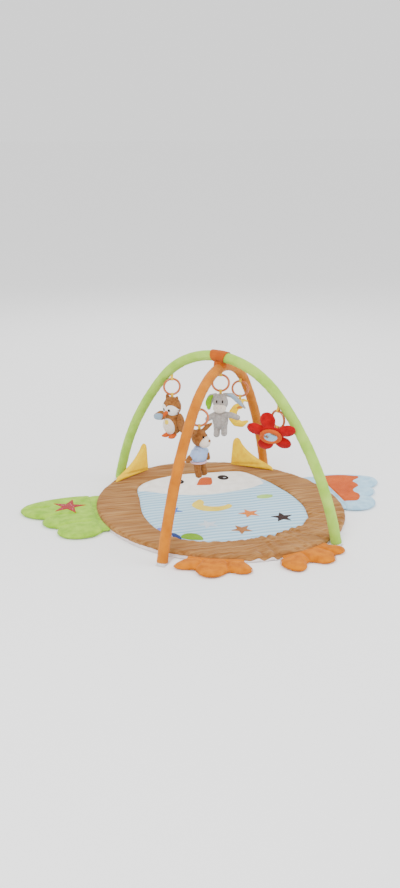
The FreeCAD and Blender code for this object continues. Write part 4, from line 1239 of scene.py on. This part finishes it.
def make_anchors():
    """The floor tabs: doubled cotton tape with a stitched hem, under the hook pads."""
    tab_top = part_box("anchor_tabs")[1].z
    pieces = []
    for colour_name, turn in ARCH_TURN.items():
        for side in (0.0, math.pi):
            heading = turn + side
            along = np.array((math.cos(heading), math.sin(heading), 0.0))
            across = np.array((-math.sin(heading), math.cos(heading), 0.0))
            start = np.linalg.norm(mat_edge(heading) - MAT_CENTRE) - 6 * MM
            end = HALF_SPAN + 15.5 * MM
            knots = MIDDLE + np.linspace(start, end, 14)[:, None] * along + UP * (tab_top / 2)
            tape = sweep(f"tab_{len(pieces)}", knots, UP, TAB_HALF_WIDTH, (tab_top - 0.0004) / 2,
                         "backing_cotton", False, 0.3, 32)
            near, far = start + TAB_HEM, end - TAB_HEM
            corners = [(near, -TAB_STITCHING), (far, -TAB_STITCHING), (far, TAB_STITCHING), (near, TAB_STITCHING)]
            hem = respaced(np.array([MIDDLE + along * x + across * y + UP * tab_top for x, y in corners]), 80)
            thread = stitches(f"tab_thread_{len(pieces)}", hem, UP, "hook_tape", 3.0, 2.0, 0.25)
            pieces += [tape, thread]
    tabs = joined("anchor_tab_tapes", pieces)
    on_body(tabs, "mat", ("anchor_tabs",))

# ------------------------------------------------------------------ rings, tapes and toys

RING_RADIUS, RING_SECTION = 27.0 * MM, 3.8 * MM
TAPE_WIDE, TAPE_THICK = 9.0 * MM, 1.0 * MM
# how far from the bar the tape's two ends come together
FOLD_END = 9 * MM
TOY_HEADING = {"owl": -54.0, "deer": 46.0, "donkey": -24.0, "moon": -6.0, "flower": -27.0}
# the flower hangs in front of the arch, so its tape is longer and leans forwards
FORWARD_TAPE = {"flower": (math.radians(64), 46 * MM)}
ARCH_OF = {"owl": "green", "deer": "orange", "donkey": "orange", "moon": "orange", "flower": "green"}


def ring_centre(toy):
    return np.array(JOINTS[f"{toy}_sway"]["pos_m"])


def toy_place(toy):
    """The toy's frame: its origin at the bar at the bottom of its ring, its face towards -Y."""
    at = ring_centre(toy) - UP * RING_RADIUS
    return Matrix.Translation(at) @ Matrix.Rotation(math.radians(TOY_HEADING[toy]), 4, "Z")


def tape_loop(name, bar, bar_heading, length, away):
    """A tape folded round a ring's bar. Both its ends run away from the bar side by side."""
    out = np.cross(away, bar_heading)
    radius = RING_SECTION + 1.2 * MM
    turns = np.radians(np.linspace(215, -35, 22) - 180)
    bend = [(radius * math.cos(a), radius * math.sin(a)) for a in turns]
    stem = 0.75 * TAPE_THICK
    flat = [(-stem, length), (-stem, FOLD_END)] + bend[::-1] + [(stem, FOLD_END), (stem, length)]
    path = np.array([bar + out * x + away * y for x, y in flat])
    path = respaced(path, 70, closed=False)
    return sweep(name, path, bar_heading, TAPE_THICK / 2, TAPE_WIDE / 2, "yellow_tape", False, 0.3, 20)


def make_loops():
    """The yellow tapes that hold each ring to its arch and each toy to its ring."""
    on_arch = {"orange": [], "green": []}
    for toy, arch in ARCH_OF.items():
        axis = np.array(JOINTS[f"{toy}_ring_swing"]["axis"], float)
        centre = ring_centre(toy)
        top = centre + UP * RING_RADIUS
        line = arch_line(arch)
        distance = math.hypot(centre[0] - MIDDLE[0], centre[1] - MIDDLE[1])
        under = np.interp(distance, line[len(line) // 2::-1, 0], line[len(line) // 2::-1, 1]) - SLEEVE_RADIUS
        on_arch[arch].append(tape_loop(f"{toy}_upper_tape", top, axis, under - top[2] + 5 * MM, UP))
        lean, length = FORWARD_TAPE.get(toy, (0.0, 20 * MM))
        away = np.cross(UP, axis) * math.sin(lean) - UP * math.cos(lean)
        lower = tape_loop(f"{toy}_tape", centre - UP * RING_RADIUS, axis, length, away)
        on_body(lower, f"toy_{toy}", (f"{toy}_loop",))
    for arch, tapes in on_arch.items():
        on_body(joined(f"{arch}_toy_tapes", tapes), f"arch_{arch}",
                (f"{arch}_toy_loops",))


def limb(points, radii, flat=(1.0, 1.0, 1.0), count=9):
    """Round forms in a row along a bent line, each with its own size; flat squeezes them along the axes."""
    line = respaced(np.array(points, float), count, closed=False)
    sizes = np.interp(np.linspace(0, 1, count), np.linspace(0, 1, len(radii)), radii)
    return [(tuple(p), tuple(s * f for f in flat)) for p, s in zip(line, sizes)]


def face_patches(toy, surface, shapes, place):
    """Sewn-on shapes of a toy: name, outline, finish, slot and thickness of each."""
    for name, outline, finish, slot, thick in shapes:
        made = patch(f"{toy}_{name}", surface, outline, finish, place @ FRONT, thick * MM, 2.0 * MM, 1.6 * MM)
        on_body(made, f"toy_{toy}")


def make_owl():
    place = toy_place("owl")
    body = stuffed("owl_plush", [
        ((0, 0, -43), (33, 30, 34)), ((0, 2, -103), (34, 30, 41), (0, 0, 0), 0.10),
        ((0, 1, -76), (28, 25, 16)), ((19, 0, -15), (9, 7, 14), (0, 25, 0), 0.35),
        ((-19, 0, -15), (9, 7, 14), (0, -25, 0), 0.35)], "brown_plush", place, seed=50)
    on_body(body, "toy_owl", ("owl_body",))
    surface = surface_of(body)
    face_patches("owl", surface, [
        ("belly", oval_outline(26, 29, 0, -110), "cream_plush", "face_fabric", 1.6),
        ("eye_disc_right", oval_outline(18, 19, 15, -50), "face_fabric", "face_fabric", 1.6),
        ("eye_disc_left", oval_outline(18, 19, -15, -50), "face_fabric", "face_fabric", 1.9),
        ("badge", closed_curve([(-9, -88), (4, -87), (6, -99), (-7, -101)], 48), "pale_yellow",
         "yellow_fabric", 2.6)], place)
    discs = surface_of(body, bpy.data.objects["owl_eye_disc_left"], bpy.data.objects["owl_eye_disc_right"])
    face_patches("owl", discs, [
        ("pupil_right", oval_outline(4.2, 5.2, 11, -49), "dark_brown_felt", "dark_brown_felt", 1.4),
        ("pupil_left", oval_outline(4.2, 5.2, -11, -49), "dark_brown_felt", "dark_brown_felt", 1.4)], place)
    for side, x in (("right", 15), ("left", -15)):
        ring = edging(f"owl_eye_edge_{side}", surface, oval_outline(18, 19, x, -50), "brown_plush",
                      place @ FRONT, 0.7, 0.9, 80)
        on_body(ring, "toy_owl")
    beak = stuffed("owl_beak", limb([(0, -30, -58), (0, -38, -62), (0, -41, -69)], [7, 6, 3]),
                   "orange_fabric", place, 1.1, 3, 0.1, 53)
    on_body(beak, "toy_owl")
    wings = [stuffed("owl_wing_right", [((36, 4, -96), (7, 18, 35), (4, -7, 0), 0.1)], "brown_plush", place,
                     1.5, 4, 0.5, 54),
             stuffed("owl_wing_left", limb([(-28, 0, -77), (-46, -8, -82), (-62, -14, -88)], [13, 17, 11],
                                           (1.0, 0.36, 1.0)), "brown_plush", place, 1.5, 4, 0.4, 55)]
    lining = patch("owl_wing_lining", surface_of(wings[1]),
                   closed_curve([(-34, -76), (-50, -74), (-66, -80), (-69, -92), (-55, -99), (-38, -93)], 60),
                   "blue_grey_cloth", place @ FRONT, 1.2 * MM, 2.0 * MM, 1.6 * MM)
    on_body(lining, "toy_owl")
    on_body(joined("owl_wings_plush", wings), "toy_owl", ("owl_wings",))
    feet = stuffed("owl_feet_cloth",
                   limb([(13, -6, -141), (14, -20, -145), (15, -30, -144)], [9, 10, 6], (1.15, 1, 0.72))
                   + limb([(-13, -6, -141), (-14, -20, -145), (-15, -30, -144)], [9, 10, 6], (1.15, 1, 0.72)),
                   "orange_fabric", place, 1.3, 3, 0.2, 57)
    on_body(feet, "toy_owl", ("owl_feet",))


def make_deer():
    place = toy_place("deer")
    head = stuffed("deer_head_plush", [((0, 0, -39), (25, 25, 28))]
                   + limb([(10, -4, -20), (26, -12, -9), (43, -19, -3)], [7, 10, 5], (1, 0.55, 1))
                   + limb([(-10, 2, -20), (-27, 4, -14), (-41, 5, -20)], [7, 10, 5], (1, 0.55, 1)),
                   "brown_plush", place, 1.5, 4, 0.4, 60)
    on_body(head, "toy_deer", ("deer_head",))
    muzzle = stuffed("deer_muzzle", [((0, -19, -50), (20, 19, 19)), ((0, -12, -40), (15, 14, 14))],
                     "cream_plush", place, 1.5, 4, 0.3, 61)
    on_body(muzzle, "toy_deer")
    face_patches("deer", surface_of(muzzle), [
        ("nose", oval_outline(6, 4, 0, -44), "brown_plush", "brown_plush", 1.8)], place)
    face_patches("deer", surface_of(head, muzzle), [
        ("eye_right", oval_outline(3, 4, 11, -31), "dark_brown_felt", "dark_brown_felt", 1.6),
        ("eye_left", oval_outline(3, 4, -11, -31), "dark_brown_felt", "dark_brown_felt", 1.6)], place)
    jumper = stuffed("deer_jumper", [((0, 2, -98), (28, 26, 29), (0, 0, 0), -0.06), ((0, 1, -74), (17, 17, 9))]
                     + limb([(20, -2, -82), (29, -4, -92)], [11, 12])
                     + limb([(-20, 2, -82), (-29, 6, -92)], [11, 12]), "jumper_blue", place, 1.5, 4, 0.6, 63)
    on_body(jumper, "toy_deer", ("deer_body",))
    turns = np.linspace(0, math.tau, 60, endpoint=False)
    hem = np.array([place @ Vector((25.5 * math.cos(a) * MM, (2 + 23.5 * math.sin(a)) * MM, -117 * MM))
                    for a in turns])
    band = sweep("deer_jumper_hem", hem, UP, 2.2 * MM, 3.4 * MM, "pink_cloth", True, 0.8, 12)
    on_body(band, "toy_deer")
    limbs = stuffed("deer_limbs_plush",
                    limb([(30, -5, -94), (35, -8, -106), (36, -11, -115)], [9, 9.5, 8])
                    + limb([(-30, 8, -93), (-37, 13, -98), (-42, 17, -106)], [9, 9.5, 8])
                    + limb([(12, -2, -118), (14, -4, -142), (16, -8, -158)], [12, 11, 11.5])
                    + limb([(-12, 0, -118), (-14, -2, -142), (-14, -6, -157)], [12, 11, 11.5]), "brown_plush",
                    place, 1.5, 4, 0.5, 65)
    on_body(limbs, "toy_deer", ("deer_limbs",))


def make_donkey():
    place = toy_place("donkey")
    head = stuffed("donkey_head_plush", [((0, 0, -38), (25, 24, 29))], "grey_plush", place, 1.5, 4, 0.4, 70)
    on_body(head, "toy_donkey", ("donkey_head",))
    muzzle = stuffed("donkey_muzzle", [((-1, -15, -55), (22, 17, 17))], "cream_plush", place, 1.5, 4, 0.3, 71)
    on_body(muzzle, "toy_donkey")
    face_patches("donkey", surface_of(head, muzzle), [
        ("eye_right", oval_outline(2.6, 5.2, 9.5, -31), "dark_brown_felt", "dark_brown_felt", 1.6),
        ("eye_left", oval_outline(2.6, 5.2, -9.5, -31), "dark_brown_felt", "dark_brown_felt", 1.6),
        ("nostril_right", oval_outline(1.8, 1.3, 7, -50), "grey_plush", "grey_plush", 1.2),
        ("nostril_left", oval_outline(1.8, 1.3, -8, -50), "grey_plush", "grey_plush", 1.2)], place)
    outer = stuffed("donkey_ear_right", limb([(12, 2, -12), (38, 4, -15), (62, 3, -36), (80, 0, -54)],
                                             [6, 9, 8, 4], (1, 0.42, 1), 16),
                    "grey_plush", place, 1.2, 3, 0.2, 73)
    lining = patch("donkey_ear_right_lining", surface_of(outer),
                   closed_curve([(20, -10), (38, -10), (58, -26), (76, -48), (70, -50), (52, -38),
                                 (34, -21)], 80),
                   "blue_grey_cloth", place @ FRONT, 1.0 * MM, 2.0 * MM, 1.4 * MM)
    on_body(lining, "toy_donkey")
    lower = stuffed("donkey_ear_left", limb([(-16, 1, -14), (-33, 2, -24), (-39, 0, -44), (-38, -4, -60)],
                                            [6, 11, 12, 6], (1, 0.42, 1), 14),
                    "grey_plush", place, 1.2, 3, 0.2, 75)
    lime = patch("donkey_ear_left_lining", surface_of(lower),
                 closed_curve([(-24, -15), (-40, -20), (-49, -38), (-47, -56), (-38, -64), (-31, -52),
                               (-29, -34)], 80), "lime_fabric", place @ FRONT, 1.0 * MM, 2.0 * MM, 1.4 * MM)
    on_body(lime, "toy_donkey")
    on_body(joined("donkey_ears_plush", [outer, lower]), "toy_donkey", ("donkey_ears",))
    body = stuffed("donkey_body_plush", [((0, 1, -99), (26, 23, 33), (0, 0, 0), 0.12)]
                   + limb([(16, -2, -80), (38, -5, -80), (58, -8, -86)], [11, 10, 9])
                   + limb([(-14, -2, -80), (-30, -5, -88), (-41, -8, -96)], [11, 10, 9])
                   + limb([(12, -1, -118), (14, -5, -138), (14, -9, -142)], [12, 10.5, 10.5])
                   + limb([(-11, -1, -118), (-11, -4, -142), (-11, -9, -147)], [12, 10.5, 10.5]), "grey_plush",
                   place, 1.5, 4, 0.5, 77)
    on_body(body, "toy_donkey", ("donkey_body",))


def make_moon():
    place = toy_place("moon")
    crescent = limb([(2, 0, -31), (-14, 0, -40), (-24, 0, -56), (-25, 0, -76), (-14, 0, -94), (6, 0, -102),
                     (26, 0, -93)], [8, 12, 14, 15, 14, 11, 5], (1, 0.85, 1), 24)
    cap = limb([(0, 0, -34), (2, 0, -22), (12, 0, -14), (24, 0, -19)], [13, 9, 5, 3.5], (1, 0.85, 1), 12)
    moon = stuffed("moon_plush", crescent + cap, "yellow_fabric", place, 1.5, 4, 0.4, 80)
    on_body(moon, "toy_moon", ("moon_body",))
    surface = surface_of(moon)
    face_patches("moon", surface, [
        ("cap_band", closed_curve([(-12, -37), (2, -32), (15, -35), (15, -40), (2, -38), (-11, -43)], 60),
         "star_orange", "orange_fabric", 1.6),
        ("closed_eye", closed_curve([(-24, -58), (-18, -61), (-11, -58), (-12, -60), (-18, -63.4),
                                     (-24, -60)], 40), "dark_brown_felt", "dark_brown_felt", 1.2)], place)


FLOWER_TILT = math.radians(34)
# each petal's direction, its length and how far it bends back
PETALS = [(99.0, 54, 24.0), (157.0, 52, 6.0), (247.0, 50, -2.0), (314.0, 51, -2.0), (20.0, 53, 6.0)]


def make_flower():
    centre = Vector((-13, -55, -6.5)) * MM
    facing = Matrix.Rotation(math.pi / 2 + FLOWER_TILT, 4, "X")
    place = toy_place("flower") @ Matrix.Translation(centre) @ facing
    forms = [((0, 0, 0), (40, 40, 8))]
    for heading, reach, bend in PETALS:
        turn = math.radians(heading)
        for share, radial, tangent, thick in ((1.0, 28, 24.5, 9.5), (0.76, 24, 18, 8)):
            back = -math.sin(math.radians(bend)) * max(0.0, share * reach - 24)
            forms.append(((share * reach * math.cos(turn), share * reach * math.sin(turn), back),
                          (radial, tangent, thick), (0, bend, heading)))
    petals = stuffed("flower_petals_velour", forms, "red_velour", place, 1.7, 4, 0.6, 85)
    on_body(petals, "toy_flower", ("flower_petals",))
    turns = np.linspace(0, math.tau, 120, endpoint=False)
    ring = np.column_stack([np.cos(turns), np.sin(turns), np.zeros(120)])
    axis = np.array(place.to_3x3() @ Vector((0, 0, 1)))
    pucker = 1 + 0.05 * np.sin(turns * 17) + 0.03 * np.sin(turns * 29)
    path = np.array([place @ Vector(p) for p in ring * 27.5 * MM + (0, 0, 9.0 * MM)])
    collar = sweep("flower_collar_cloth", path, axis, 7.6 * MM * pucker, 4.6 * MM * pucker, "orange_fabric",
                   True, 0.9, 20)
    on_body(collar, "toy_flower", ("flower_collar",))
    flat, faces = filled(ring[:, :2] * 22.0 * MM, 2.5 * MM)
    dome = 11.2 * MM + 1.2 * MM * (1 - (np.linalg.norm(flat, axis=1) / (22.0 * MM)) ** 2)
    count = len(flat)
    upper = np.column_stack([flat, dome])
    lower = np.column_stack([flat, np.full(count, 8.0 * MM)])
    loop = list(range(120))
    faces = (faces + [tuple(count + v for v in face[::-1]) for face in faces]
             + [(a, b, count + b, count + a) for a, b in zip(loop, loop[1:] + loop[:1])])
    glass = mesh_piece("flower_mirror_film", np.vstack([upper, lower]), faces, "mirror_film")
    glass.data.transform(place)
    on_body(glass, "toy_flower", ("flower_mirror",))


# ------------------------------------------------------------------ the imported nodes' finishes, and the whole

CAD_FINISHES = {"mat_wadding": "wadding", "anchor_hook_pads": "hook_tape", "crossing_stud": "stud_plastic"}
for arch in ("orange", "green"):
    CAD_FINISHES.update({f"{arch}_foam": "foam", f"{arch}_rod_back": "fibreglass",
                         f"{arch}_rod_front": "fibreglass", f"{arch}_ferrule": "steel",
                         f"{arch}_foot_plugs": "plug_plastic"})
for toy in ARCH_OF:
    CAD_FINISHES[f"{toy}_ring"] = "ring_plastic"


def finish_nodes():
    for name, finish in CAD_FINISHES.items():
        mesh = NODES[name].data
        mesh.materials.clear()
        mesh.materials.append(FINISHES[finish])


make_camera()
make_studio()
make_mat()
make_wings()
make_feet()
make_ears()
for arch in ARCH_TURN:
    make_sleeve(arch)
make_crossing()
make_anchors()
make_loops()
make_owl()
make_deer()
make_donkey()
make_moon()
make_flower()
finish_nodes()
